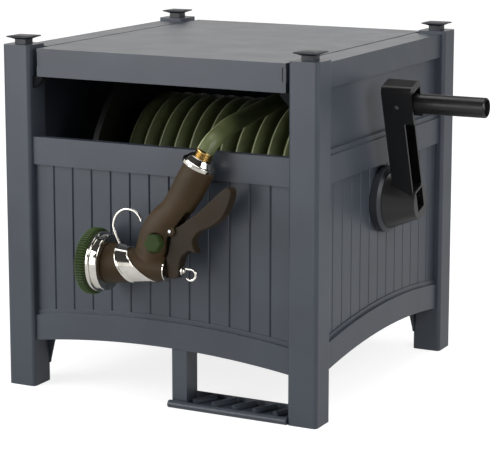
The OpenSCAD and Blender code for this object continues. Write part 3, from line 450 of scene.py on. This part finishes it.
def metal(name, dark, light, low, high, scratch_mm=0.4, strength=0.06):
    """A metal: drifting tone and gloss over fine random scratches."""
    material, tree, shader = new_material(name)
    shader.inputs["Metallic"].default_value = 1.0
    place = add_node(tree, "ShaderNodeTexCoord").outputs["Object"]
    tree.links.new(mottled(tree, place, dark, light, size_mm=12), shader.inputs["Base Color"])
    tree.links.new(rough_range(tree, place, low, high, size_mm=6), shader.inputs["Roughness"])
    grain = grained(tree, place, scratch_mm, depth_mm=0.01, strength=strength)
    tree.links.new(grain.outputs["Normal"], shader.inputs["Normal"])
    return material


def chrome_plate():
    """Bright chrome over moulded plastic: nearly a mirror, with faint smears."""
    return metal("chrome_plate", "#cfccc4", "#dedbd4", 0.05, 0.12, scratch_mm=1.5, strength=0.03)


def zinc_plate():
    """Zinc-plated steel of screws, pins and spring."""
    return metal("zinc_plate", "#8f9296", "#a9acb0", 0.25, 0.42)


def turned_brass():
    """Machined brass: warm, with fine marks of the tool."""
    return metal("turned_brass", "#a58a52", "#c2a468", 0.16, 0.32)


def soft_touch(name, dark, light, low, high, specular=0.22):
    """Soft rubber coating: dull, with a fine stipple and a weak sheen at its edges."""
    material, tree, shader = new_material(name)
    place = add_node(tree, "ShaderNodeTexCoord").outputs["Object"]
    tree.links.new(mottled(tree, place, dark, light, size_mm=30), shader.inputs["Base Color"])
    tree.links.new(rough_range(tree, place, low, high, size_mm=25), shader.inputs["Roughness"])
    shader.inputs["Specular IOR Level"].default_value = specular
    shader.inputs["Sheen Weight"].default_value = 0.03
    shader.inputs["Sheen Roughness"].default_value = 0.5
    grain = grained(tree, place, size_mm=0.8, depth_mm=0.08, strength=0.4)
    tree.links.new(grain.outputs["Normal"], shader.inputs["Normal"])
    return material


def ribbed_rubber():
    """Green rubber of the bumper, with painted shade in the valleys between its ribs."""
    material, tree, shader = new_material("ribbed_green_rubber")
    place = add_node(tree, "ShaderNodeTexCoord")
    split = add_node(tree, "ShaderNodeSeparateXYZ", links={"Vector": place.outputs["UV"]})
    turn = add_node(tree, "ShaderNodeMath", {"operation": "MULTIPLY"},
                    {1: BUMPER_RIBS * 2 * math.pi}, {0: split.outputs["X"]})
    crest = add_node(tree, "ShaderNodeMath", {"operation": "COSINE"}, links={0: turn.outputs[0]})
    share = add_node(tree, "ShaderNodeMapRange", values={"From Min": -0.9, "From Max": 0.9},
                     links={"Value": crest.outputs[0]})
    tone = mottled(tree, place.outputs["Object"], "#34481a", "#435a22", size_mm=20)
    # painted shade: the valleys between the ribs take a near-black green, the crests the rubber's
    # own tone
    mixed = add_node(tree, "ShaderNodeMix", {"data_type": "RGBA"}, {"A": linear("#10170a")},
                     {"Factor": share.outputs["Result"], "B": tone})
    tree.links.new(mixed.outputs["Result"], shader.inputs["Base Color"])
    rough = rough_range(tree, place.outputs["Object"], 0.5, 0.65, size_mm=15)
    tree.links.new(rough, shader.inputs["Roughness"])
    shader.inputs["Specular IOR Level"].default_value = 0.28
    return material


def braided_vinyl():
    """Hose: smooth vinyl over a braid that shows as fine crossed threads, long flow lines and one
    painted highlight line.
    """
    material, tree, shader = new_material("braided_vinyl")
    source = add_node(tree, "ShaderNodeTexCoord")
    place = source.outputs["Object"]
    split = add_node(tree, "ShaderNodeSeparateXYZ", links={"Vector": source.outputs["UV"]})
    round_hose, along_hose = split.outputs["X"], split.outputs["Y"]
    thread_count, thread_lead, flow_lines = 16, 0.06, 24
    threads = []
    for way in (1, -1):
        # a thread climbs once round the hose in its lead of 60 mm; drawn 1.4 mm wide to show
        climb = add_node(tree, "ShaderNodeMath", {"operation": "MULTIPLY"}, {1: way / thread_lead},
                         {0: along_hose})
        both = add_node(tree, "ShaderNodeMath", {"operation": "ADD"},
                        links={0: round_hose, 1: climb.outputs[0]})
        many = add_node(tree, "ShaderNodeMath", {"operation": "MULTIPLY"},
                        {1: thread_count * 2 * math.pi}, {0: both.outputs[0]})
        threads.append(add_node(tree, "ShaderNodeMath", {"operation": "SINE"},
                                links={0: many.outputs[0]}).outputs[0])
    braid = add_node(tree, "ShaderNodeMath", {"operation": "MAXIMUM"},
                     links={0: threads[0], 1: threads[1]})
    stripes = add_node(tree, "ShaderNodeMath", {"operation": "MULTIPLY"},
                       {1: flow_lines * 2 * math.pi}, {0: round_hose})
    lines = add_node(tree, "ShaderNodeMath", {"operation": "SINE"},
                     links={0: stripes.outputs[0]})
    base = mottled(tree, place, "#4b5034", "#636b46", size_mm=25)
    shade = add_node(tree, "ShaderNodeMapRange", values={"From Min": 0.2, "From Max": 1.0,
                     "To Min": 0.0, "To Max": 0.35}, links={"Value": braid.outputs[0]})
    mixed = add_node(tree, "ShaderNodeMix", {"data_type": "RGBA"},
                     {"B": linear("#7f8959")}, {"Factor": shade.outputs["Result"], "A": base})
    # painted highlight: one pale line along the hose, 3 mm wide, on the side of its turns that
    # faces left and out
    aside = add_node(tree, "ShaderNodeMath", {"operation": "SUBTRACT"}, {1: 0.085},
                     {0: round_hose})
    apart = add_node(tree, "ShaderNodeMath", {"operation": "ABSOLUTE"},
                     links={0: aside.outputs[0]})
    line = add_node(tree, "ShaderNodeMapRange", values={"From Min": 0.012, "From Max": 0.022,
                    "To Min": 1.0, "To Max": 0.0}, links={"Value": apart.outputs[0]})
    highlighted = add_node(tree, "ShaderNodeMix", {"data_type": "RGBA"}, {"B": linear("#ccd2a8")},
                     {"Factor": line.outputs["Result"], "A": mixed.outputs["Result"]})
    tree.links.new(highlighted.outputs["Result"], shader.inputs["Base Color"])
    tree.links.new(rough_range(tree, place, 0.34, 0.45, size_mm=20), shader.inputs["Roughness"])
    relief = add_node(tree, "ShaderNodeMath", {"operation": "MULTIPLY_ADD"}, {1: 0.5},
                      {0: lines.outputs[0], 2: braid.outputs[0]})
    bump = add_node(tree, "ShaderNodeBump", values={"Strength": 0.4, "Distance": 0.15 * MM},
                    links={"Height": relief.outputs[0]})
    tree.links.new(bump.outputs["Normal"], shader.inputs["Normal"])
    return material


# Finish of each material slot, and of the bumper, lever and gussets, which differ from theirs. The
# lever's darker brown is painted shade. The gussets are as dull as a coating, and their colour,
# darker than the trim's, is painted shade so that they stay dark in the gap under the lid.
FINISH = {
    "cabinet": polypropylene(),
    "trim": filled_polypropylene(),
    "reel": black_polypropylene(),
    "crank": glass_filled_nylon(),
    "bush": acetal(),
    "steel": zinc_plate(),
    "chrome": chrome_plate(),
    "brass": turned_brass(),
    "hose": braided_vinyl(),
    "grip_rubber": soft_touch("brown_soft_touch", "#362814", "#42321c", 0.46, 0.56),
    # painted shade: the lever is the grip's brown made darker, since the key lamp lights its flat
    # side more
    "lever": soft_touch("brown_soft_touch_painted_shade", "#261c0f", "#2f2313", 0.5, 0.6),
    "green_rubber": soft_touch("green_rubber", "#25340f", "#334714", 0.5, 0.65),
    "bumper": ribbed_rubber(),
    # painted shade: the gussets are darker than the trim, for the gap under the lid
    "rests": soft_touch("dull_polypropylene_painted_shade", "#121315", "#17181a", 0.6, 0.7,
                        specular=0.08),
    "seal": soft_touch("nitrile_rubber", "#101010", "#181818", 0.5, 0.6),
}


# Hose

def around(angle, radius, x):
    """Points on the drum at an angle in radians from the front-to-back line."""
    angle, x = np.broadcast_arrays(np.asarray(angle, float), np.asarray(x, float))
    return np.stack([x, radius * np.cos(angle), AXIS_Z + radius * np.sin(angle)], axis=-1)


def winding_way():
    """Way that the hose runs at both ends of its outer layer: pitch / (2 pi r) across the drum for
    each step along the turn's tangent."""
    return unit([PITCH / (2 * math.pi * WIND_R), -math.sin(WIND_START), math.cos(WIND_START)])


def evened(line, step):
    """The same line with its points a step apart, read off by the length gone."""
    gone = np.concatenate([[0], np.cumsum(np.linalg.norm(np.diff(line, axis=0), axis=1))])
    wanted = np.linspace(0, gone[-1], int(round(gone[-1] / step)) + 1)
    return np.stack([np.interp(wanted, gone, line[:, k]) for k in range(3)], axis=1)


def relaxed(line, rounds):
    """Line whose inner points move to (a + 2b + c) / 4 that many times, as a stiff hose eases
    its bends."""
    for _ in range(rounds):
        line[1:-1] = (line[:-2] + 2 * line[1:-1] + line[2:]) / 4
    return line


def at_coupling(points):
    """Coupling's frame, x along the hose and y across the nozzle, to the cabinet's: turned by its
    tilt about y, moved to its middle, then hung with the nozzle."""
    x, y, z = np.moveaxis(np.asarray(points, float), -1, 0)
    c, s = math.cos(COUPLING_TILT), math.sin(COUPLING_TILT)
    return hung(np.stack([COUPLING[0] + x * s + z * c, y, COUPLING[1] + x * c - z * s], axis=-1))


# Points that the free hose passes, from behind the drum, over it and out of the window
HOSE_WAY = [
    [157, 105, 188], [155, 127, 228], [149, 131, 272], [139, 116, 316], [127, 86, 352],
    [115, 46, 375], [105, 0, 384], [98, -50, 381], [92, -100, 373], [87, -145, 366],
    [84, -180, 361],
]


def free_route():
    """Route of the free hose: from the winding's end over the drum and down to the brass fitting,
    first along the fitting's axis. Easing the bends leaves a slant of 27 degrees there."""
    end = around(WIND_START, WIND_R, WIND_X1)
    middle = smooth_line([end + 2 * HOSE_D * winding_way(), *HOSE_WAY], 10)
    above, top = at_coupling([[NUT_H / 2 + BRASS_H + 10, 0, 0], [NUT_H / 2 + BRASS_H, 0, 0]])
    line = np.vstack([end + HOSE_D * winding_way(), middle, above, top])
    return relaxed(evened(line, step=3.0), rounds=30)


def make_coupling():
    """Chrome collar with a bright lip under a cone, and the brass fitting, whose thread has the
    radius 10.9 + 0.55 cos(2 pi x / 2.33), x from the thread's start."""
    collar = rounded([[-6.5, 12.6], [-6.5, 21.5], [-1.6, 21.5], [-0.6, 19.8], [5.4, 15.4],
                      [6.5, 14.4], [6.5, 12.6], [-6.5, 12.6]], 0.8)
    piece = placed(solid("coupling_collar", [turned(collar, 96)], 30), at_coupling)
    finish(piece, FINISH["chrome"], "coupling_nut")
    x = np.linspace(6.6, 13.6, 43)
    thread = np.stack([x, 10.9 + 0.55 * np.cos((x - 6.6) * 2 * np.pi / 2.33)], axis=1)
    brass = np.vstack([[[2.6, 6], [2.6, 12.4], [6.2, 12.4]], thread,
                       [[13.8, 11.6], [15.4, 11.6], [16.4, 10.8], [16.4, 6], [2.6, 6]]])
    piece = placed(solid("brass_fitting", [turned(brass, 64)], 50), at_coupling)
    finish(piece, FINISH["brass"], "hose_coupling")


def make_free_hose():
    """Free end of the hose, from the winding to the brass fitting, over which it reaches 4 mm."""
    route = free_route()
    sleeve = route[-1] + 4 * unit(route[-1] - route[-2])
    hose = solid("free_hose", [swept(np.vstack([route, sleeve]), HOSE_D / 2, 32)])
    finish(hose, FINISH["hose"], "hose_free")


def winding_line(radius, x_from, x_to):
    """Helix round the drum, t from 0 to 1: angle start + 2 pi turns t, x from one end to the
    other."""
    t = np.linspace(0, 1, TURNS * 48 + 1)
    return around(WIND_START + t * TURNS * 2 * math.pi, radius, x_from + t * (x_to - x_from))


def make_winding():
    """Outer layer of turns, as the solid has it, and the two layers below it."""
    along = winding_way()
    outer = winding_line(WIND_R, WIND_X0, WIND_X1)
    outer = np.vstack([outer[0] - HOSE_D * along, outer[0] - HOSE_D / 2 * along, outer,
                       outer[-1] + HOSE_D / 2 * along, outer[-1] + HOSE_D * along])
    turns = solid("outer_turns", [swept(outer, HOSE_D / 2, 20)])
    finish(turns, FINISH["hose"], "hose_winding")
    layers = [swept(winding_line(radius, x_from, x_to), HOSE_D / 2 - 0.1, 14)
              for radius, x_from, x_to in ((65.6, WIND_X0, WIND_X1 - 4),
                                           (87.3, WIND_X1 - 4, WIND_X0 + 3))]
    finish(solid("inner_turns", layers), FINISH["hose"], "hose_inner_layers")


# Cabinet

# Outlines seen from the front: a brace of the front left post, and the right end of the apron
BRACE = [[-186, 24], [-184, 25], [-175, 61], [-175, 70], [-186, 70]]
APRON_END = [[171, 410], [177, 410], [177, 423], [171, 423]]


def mirrored(outline, side):
    """Outline as it is for side 1, and with left and right exchanged for side -1."""
    return np.array(outline) * (side, 1)


def braces(quarter):
    """Two small braces in a post's inner corners below the rails, made for the front left post
    and turned by quarters about the middle of the cabinet: (x c - y s, x s + y c, z)."""
    both = []
    for side, turn in ((1, quarter), (-1, quarter - 1)):
        c, s = round(math.cos(turn * math.pi / 2)), round(math.sin(turn * math.pi / 2))
        both.append(placed(slab("brace", mirrored(BRACE, side), -186, -183), lambda p: np.stack(
            [p[:, 0] * c - p[:, 1] * s, p[:, 0] * s + p[:, 1] * c, p[:, 2]], axis=1)))
    return both


def lip_bead():
    """Round bead along the front lip of the foot step, lying on the ground."""
    low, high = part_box("foot_step")
    radius, y = 4.4, -221.6
    left, right = [low.x / MM, y, radius], [high.x / MM - 0.5, y, radius]
    return solid("bead", [swept(np.linspace(left, right, 8), radius, 24, (0, 0, 1))])


def make_cabinet():
    """Posts, panels, lid, step, bearing boss and gussets with the rounded edges of mouldings."""
    for quarter, node in enumerate(("post_front_left", "post_front_right", "post_back_right",
                                    "post_back_left")):
        soften(node, 0.8, FINISH["cabinet"], added=braces(quarter))
    for node in ("front_panel", "back_panel", "left_panel", "right_panel"):
        soften(node, 0.7, FINISH["cabinet"])
    apron_ends = [slab("apron_end", mirrored(APRON_END, side), -215, -210) for side in (-1, 1)]
    soften("lid", 1.2, FINISH["cabinet"], 3, apron_ends)
    soften("foot_step", 0.8, FINISH["cabinet"], added=[lip_bead()])
    soften("bearing_housing", 1.2, FINISH["trim"], 3)
    soften("lid_rests", 0.6, FINISH["rests"])


def rounded_square(half, radius):
    """Ring of points of a square with round corners, anticlockwise from its right side: at each
    corner its centre + radius (cos t, sin t) over a quarter turn."""
    t = np.radians(np.linspace(0, 90, 6))
    corners = [(half - radius, half - radius, 0), (radius - half, half - radius, 90),
               (radius - half, radius - half, 180), (half - radius, radius - half, 270)]
    return np.concatenate([np.stack([u + radius * np.cos(t + math.radians(turn)),
                                     v + radius * np.sin(t + math.radians(turn))], axis=1)
                           for u, v, turn in corners])


def stacked(outline, middle, levels):
    """Grid of a flat outline times the size at each level, round a middle: (x + size u,
    y + size v, z)."""
    return np.stack([np.column_stack([outline * size + middle, np.full(len(outline), z)])
                     for size, z in levels])


def make_finial(node):
    """Finial: a notched neck under a thin square plate with a bevelled underside and a crown."""
    low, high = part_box(node)
    middle = ((low.x + high.x) / 2 / MM, (low.y + high.y) / 2 / MM)
    top = high.z / MM
    half = (high.x - low.x) / 2 / MM
    # half side of the plate and height from the top, both in millimetres
    levels = [[0, -5.4], [8.6, -5.4], [half - 3.5, -3.6], [half - 0.4, -2.6], [half, -2.1],
              [half, -1.5], [half - 0.5, -1.1], [half * 0.6, -0.4], [half * 0.3, -0.1], [0, 0]]
    plate = stacked(rounded_square(1.0, 0.07), middle,
                    [(size, top + height) for size, height in levels])
    # the neck is drawn in over the middle of each side, which leaves its corners as ribs
    square = rounded_square(8.4, 0.6)
    a = np.arctan2(square[:, 1], square[:, 0])
    square = square * np.where(np.abs(np.sin(2 * a)) < 0.45, 0.78, 1.0)[:, None]
    foot, head = POST_TOP - 0.5, top - 5.2
    neck = stacked(square, middle, [(0, foot), (1, foot), (1, head), (0, head)])
    piece = solid(node + "_plate", [plate, neck], 30)
    finish(piece, FINISH["trim"], node)


# Crank

def shortened(points, share=0.9):
    """Points drawn towards their middle along their longest direction, by a share of it."""
    centre = points.mean(axis=0)
    axis = np.linalg.svd(points - centre, full_matrices=False)[2][0]
    along = (points - centre) @ axis
    return points - np.outer(along * (1 - share), axis)


def make_crank():
    """Arm, sleeve and yoke with moulded edges, and the pivot pin, whose ends lie sunk in the
    arm."""
    soften("crank_arm", 1.3, FINISH["crank"], 3)
    pin = added_object("sunk_pivot_pin", NODES["grip_pivot_pin"].data.copy())
    clean(pin.data)
    pin.data.shade_flat()
    placed(pin, shortened)
    finish(pin, FINISH["steel"], "grip_pivot_pin")
    soften("grip_sleeve", 0.8, FINISH["crank"], 3)
    soften("grip_yoke", 0.8, FINISH["crank"])


# Nozzle

# Grip: middle line x and z, half width, and turn from the level in degrees, from the hose down
GRIP_ROWS = [
    [73.8, 128.2, 20.6, 26], [68.5, 118, 21.4, 27], [61, 103.5, 21.6, 28], [52, 87.5, 20.6, 30],
    [42, 72, 20, 36], [30.5, 59.5, 21.6, 34], [22, 47, 22.6, 25], [17, 34, 22.8, 14],
    [13.5, 20, 22, 6], [12, 6, 19, 0], [12, -4, 14, 0],
]
GRIP_HALF_Y = 15.8

# Ends of the barrel in x; middles of the side cap and the lever's pin in x and z
BARREL_FRONT = -46.0
BARREL_REAR = 36.0
CAP = (24.5, 32.0)
CAP_SEAT_Y = -12.0
LEVER_PIN = (42.7, 48.0)
LEVER_HALF_Y = 8.0


def barrel_r(x):
    """Radius of the barrel, which narrows from 26 mm at the spray head to 15 mm at the rear."""
    return 15 + (BARREL_REAR - x) * 11 / (BARREL_REAR - BARREL_FRONT)


def disc(centre, radius, y0, y1, name):
    """Round slab across the nozzle: centre + radius (cos a, sin a), between two values of y."""
    a = ring(48)
    outline = np.stack([centre[0] + radius * np.cos(a), centre[1] + radius * np.sin(a)], axis=1)
    return slab(name, outline, y0, y1)


def make_nozzle_body():
    """Grip: ellipses (w cos a, 15.8 sin a) along a smooth line, melted into the turned barrel,
    with the slot for the lever and the recess for the side cap cut out."""
    rows = smooth_line(GRIP_ROWS, 6)
    a = ring(48)[None, :]
    across = rows[:, 2:3] * np.cos(a)
    slope = np.radians(rows[:, 3:4])
    grid = np.stack([rows[:, 0:1] + across * np.cos(slope),
                     np.broadcast_to(-GRIP_HALF_Y * np.sin(a), across.shape),
                     rows[:, 1:2] - across * np.sin(slope)], axis=-1)
    centre = np.broadcast_to(grid.mean(axis=1, keepdims=True), grid.shape)
    grip = solid("nozzle_body", [np.concatenate([centre[:1], grid, centre[-1:]])])
    barrel = solid("barrel", [turned([[BARREL_FRONT, 0], [BARREL_FRONT, barrel_r(BARREL_FRONT)],
                                      [BARREL_REAR, barrel_r(BARREL_REAR)],
                                      [BARREL_REAR, 0]], 64)])
    boss = disc(LEVER_PIN, 6.5, -11.5, 11.5, "boss")
    combine(grip, [barrel, boss], "UNION")
    room = LEVER_HALF_Y + 0.6
    behind = BARREL_REAR + 0.02
    well = slab("well", [[behind, -24], [behind, 57], [50, 66], [64, 74], [70, 60], [70, -24]],
                -room, room)
    slot = disc(LEVER_PIN, 8.5, -room, room, "slot")
    recess = disc(CAP, 12.2, CAP_SEAT_Y - 18, CAP_SEAT_Y, "recess")
    combine(grip, [well, slot, recess], "DIFFERENCE")
    melt(grip, 0.9, 4)
    placed(grip, hung)
    finish(grip, FINISH["grip_rubber"], "nozzle_grip")


def make_band():
    """Bright band: a thin shell on the barrel between two slanted lines, with raised rims. Its
    section is carried round: x = left + share (right - left), r = barrel radius + height."""
    a = ring(128)[None, :]
    height = np.sin(a)
    left = np.interp(height, [-1, -0.85, 0, 0.75, 1], [-9, -12, -24, -31, -33])
    right = np.interp(height, [-1, -0.8, 0, 0.6, 1], [25, 21, 2, -12, -17])
    # share of the width, and height above the barrel in millimetres
    section = np.array([[0, -0.6], [0, 1.3], [0.03, 1.5], [0.07, 1.4], [0.09, 0.9],
                        [0.5, 0.8], [0.91, 0.9], [0.93, 1.4], [0.97, 1.5], [1, 1.3],
                        [1, -0.6], [0, -0.6]])
    x = left + section[:, 0:1] * (right - left)
    r = barrel_r(x) + section[:, 1:2]
    band = solid("slanted_band", [np.stack([x, -r * np.cos(a), r * np.sin(a)], axis=-1)], 30)
    placed(band, hung)
    finish(band, FINISH["chrome"], "barrel_band")


def arc(centre, radius, start, end, count):
    """Arc in the nozzle's plane: centre + radius (cos t, sin t), t in degrees."""
    t = np.radians(np.linspace(start, end, count))
    return np.stack([centre[0] + radius * np.cos(t), 0 * t, centre[1] + radius * np.sin(t)],
                    axis=1)


def make_wires():
    """Hanging hook and latch clip, each one bent wire. The hook's arc runs on into a straight
    foot, along the arc's last direction."""
    last = 208.7
    hook = arc((-23.5, 48.5), 20.5, 20, last, 48)
    run = np.array([-math.sin(math.radians(last)), 0, math.cos(math.radians(last))])
    hook = np.vstack([hook, hook[-1] + 6 * run, hook[-1] + 19 * run])
    wire = solid("hanging_hook", [swept(hung(hook), 1.9, 16, (0, 1, 0.1))])
    finish(wire, FINISH["chrome"], "nozzle_hook")
    clip = np.vstack([[[61.5, 0, 2.8]], arc((69, -4), 6.8, 90, -140, 40)])
    wire = solid("latch_wire", [swept(hung(clip), 1.7, 14, (0, 1, 0.1))])
    finish(wire, FINISH["chrome"], "latch_clip")


# Outline of the lever, x and z, from its tip down its outer side and back up
LEVER = [
    [117, 108], [122, 103], [120, 89], [111.5, 71], [98, 59], [81, 50.5], [73, 40], [75, 30],
    [78, 24], [69, 26], [63, 22], [58, 16], [56, 5], [55, -7], [44, -10], [39, 1], [38, 14],
    [39.5, 19], [41, 31], [43.6, 43], [44.7, 51], [53, 55], [64, 63], [76, 72], [90, 85],
    [102, 97], [113, 106],
]


def make_lever():
    """Trigger lever: its outline carried across and melted to round edges."""
    lever = slab("lever", closed_line(LEVER, 5), -LEVER_HALF_Y, LEVER_HALF_Y)
    hub = disc(LEVER_PIN, 7, -LEVER_HALF_Y, LEVER_HALF_Y, "hub")
    combine(lever, [hub], "UNION")
    hole = solid("hole", [turned([[31, 0], [31, 5.8], [61, 5.8], [61, 0]], 32)])
    combine(lever, [hole], "DIFFERENCE")
    melt(lever, 0.8, 6)
    placed(lever, hung)
    finish(lever, FINISH["lever"], "trigger_lever")


def make_side_cap():
    """Green cap in the side of the grip: six soft flats, r = 12(1 - 0.1 sin(3a)^2), and a rim."""
    profile = rounded([[0, 0], [0, 12], [8.6, 12], [10, 10.4], [10, 0]], 1.2)
    grid = turned(profile, 72, lambda a: 1 - 0.1 * np.sin(3 * a) ** 2)
    depth, u, v = np.moveaxis(grid, -1, 0)
    grid = np.stack([CAP[0] + u, CAP_SEAT_Y - depth, CAP[1] + v], axis=-1)
    cap = placed(solid("round_cap", [grid], 50), hung)
    finish(cap, FINISH["green_rubber"], "side_cap")


def make_spray_head():
    """Dial, bezel and green bumper, all turned round the barrel. The bumper's ribs draw its
    radius in by 0.034 (0.5 - 0.5 cos(72 a))^0.7 of it."""
    dial = rounded([[-46.3, 12.2], [-46.3, 34.5], [-47.3, 35.5], [-59, 35.5], [-59, 33.2],
                    [-50.5, 33.2], [-50.5, 12.2], [-46.3, 12.2]], 0.6)
    piece = placed(solid("dial_shell", [turned(dial, 96)], 35), hung)
    finish(piece, FINISH["chrome"], "spray_dial")
    bezel = rounded([[-56, 35.6], [-56.2, 36.6], [-57, 38], [-60.2, 38], [-61, 37.2],
                     [-61, 35.6], [-56, 35.6]], 0.5)
    piece = placed(solid("bezel_ring", [turned(bezel, 96)], 35), hung)
    finish(piece, FINISH["chrome"], "dial_bezel")
    bumper = rounded([[-61, 33], [-61, 39], [-63.5, 42], [-72.5, 42], [-76, 39], [-76, 33],
                      [-61, 33]], 1.5, 6)
    ribs = turned(bumper, BUMPER_RIBS * 8,
                  lambda a: 1 - 0.034 * (0.5 - 0.5 * np.cos(BUMPER_RIBS * a)) ** 0.7)
    piece = placed(solid("ribbed_bumper", [ribs], 60), hung)
    finish(piece, FINISH["bumper"], "bumper_ring")


def make_nozzle():
    """All pieces of the nozzle."""
    make_nozzle_body()
    make_band()
    make_wires()
    make_lever()
    make_side_cap()
    make_spray_head()


# Room

def make_floor():
    """Pale floor that runs past the picture. Camera rays see a glow on it that grows from 0.5 to
    1.5 m from the middle, so that it ends near white and keeps the shadow, and mirror rays see a
    weaker one."""
    mesh = bpy.data.meshes.new("floor")
    half = 14.0
    mesh.from_pydata([(-half, -half, 0), (half, -half, 0), (half, half, 0), (-half, half, 0)],
                     [], [(0, 1, 2, 3)])
    floor = added_object("floor", mesh)
    material, tree, shader = new_material("matt_white_floor")
    shader.inputs["Base Color"].default_value = linear("#ababab")
    shader.inputs["Roughness"].default_value = 0.9
    shader.inputs["Specular IOR Level"].default_value = 0.1
    place = add_node(tree, "ShaderNodeTexCoord").outputs["Object"]
    away = add_node(tree, "ShaderNodeVectorMath", {"operation": "LENGTH"}, links={0: place})
    seen = add_node(tree, "ShaderNodeMapRange", values={"From Min": 0.5, "From Max": 1.5,
                    "To Min": 0.82, "To Max": 0.92}, links={"Value": away.outputs["Value"]})
    ray = add_node(tree, "ShaderNodeLightPath")
    mirrored = add_node(tree, "ShaderNodeMath", {"operation": "MULTIPLY"}, {1: 0.36},
                        {0: ray.outputs["Is Glossy Ray"]})
    glow = add_node(tree, "ShaderNodeMath", {"operation": "MULTIPLY_ADD"},
                    links={0: ray.outputs["Is Camera Ray"], 1: seen.outputs["Result"],
                           2: mirrored.outputs[0]})
    shader.inputs["Emission Color"].default_value = (1, 1, 1, 1)
    tree.links.new(glow.outputs[0], shader.inputs["Emission Strength"])
    mesh.materials.append(material)


def make_world():
    """Even studio light. Camera and transmitted rays see a white room; mirror rays see its walls,
    which darken to the right and overhead, as in a studio whose ceiling is dark."""
    world = bpy.data.worlds.new("studio")
    bpy.context.scene.world = world
    world.use_nodes = True
    tree = world.node_tree
    tree.nodes.clear()
    ray = add_node(tree, "ShaderNodeLightPath")
    way = add_node(tree, "ShaderNodeSeparateXYZ",
                   links={"Vector": add_node(tree, "ShaderNodeTexCoord").outputs["Generated"]})
    overhead = add_node(tree, "ShaderNodeMapRange", {"interpolation_type": "SMOOTHSTEP"},
                        {"From Min": 0.25, "From Max": 0.45, "To Min": 1.0, "To Max": 0.06},
                        {"Value": way.outputs["Z"]})
    rightward = add_node(tree, "ShaderNodeMapRange", {"interpolation_type": "SMOOTHSTEP"},
                         {"From Min": 0.1, "From Max": 0.8, "To Min": 1.0, "To Max": 0.3},
                         {"Value": way.outputs["X"]})
    wall = add_node(tree, "ShaderNodeMath", {"operation": "MULTIPLY"},
                    links={0: overhead.outputs["Result"], 1: rightward.outputs["Result"]})
    seen = add_node(tree, "ShaderNodeMath", {"operation": "ADD", "use_clamp": True},
                    links={0: ray.outputs["Is Camera Ray"], 1: ray.outputs["Is Transmission Ray"]})
    light = add_node(tree, "ShaderNodeBackground", values={"Color": (1, 1, 1, 1),
                     "Strength": 0.28})
    mirrored = add_node(tree, "ShaderNodeBackground", values={"Color": (1, 0.97, 0.93, 1)},
                        links={"Strength": wall.outputs[0]})
    white = add_node(tree, "ShaderNodeBackground", values={"Color": (1, 1, 1, 1),
                     "Strength": 1.0})
    mixed = add_node(tree, "ShaderNodeMixShader", links={"Fac": ray.outputs["Is Glossy Ray"],
                     1: light.outputs[0], 2: mirrored.outputs[0]})
    mixed = add_node(tree, "ShaderNodeMixShader", links={"Fac": seen.outputs[0],
                     1: mixed.outputs[0], 2: white.outputs[0]})
    add_node(tree, "ShaderNodeOutputWorld", links={"Surface": mixed.outputs[0]})


# Each lamp's place and target in metres, its side in metres and its power in watts
LAMPS = {
    "key_lamp": ((-2.1, -1.9, 1.6), (0, 0, 0.2), 1.5, 44),
    "low_lamp": ((-1.2, -2.4, 0.62), (0, 0, 0.32), 1.0, 13),
    "back_lamp": ((-1.0, 2.2, 1.4), (0, 0, 0.44), 1.6, 1.6),
    "side_lamp": ((1.0, -0.38, 0.7), (0.22, -0.12, 0.3), 0.5, 4.2),
    "top_lamp": ((0.2, 0.3, 2.6), (0, 0, 0.2), 2.0, 30),
}


def make_lamps():
    """Soft square lamps: the key from the front left, a low one that reaches into the window, a
    faint one behind for the lid's far edge, a small one for the right side, and a top light."""
    for name, (place, target, side, power) in LAMPS.items():
        data = bpy.data.lights.new(name, "AREA")
        data.shape = "SQUARE"
        data.size = side
        data.energy = power
        lamp = added_object(name, data)
        lamp.location = place
        lamp.rotation_euler = (Vector(target) - Vector(place)).to_track_quat("-Z", "Y").to_euler()


def finish_carried_nodes():
    """Give each node that the frame carries over the finish of its slot."""
    for node, shown in NODES.items():
        shown.data.materials.clear()
        shown.data.materials.append(FINISH[SLOT_OF[node]])


place_camera()
make_coupling()
make_free_hose()
make_winding()
make_cabinet()
for finial in ("finial_front_left", "finial_front_right", "finial_back_left",
               "finial_back_right"):
    make_finial(finial)
make_crank()
make_nozzle()
finish_carried_nodes()
make_floor()
make_world()
make_lamps()
bpy.context.scene.view_settings.view_transform = "Standard"
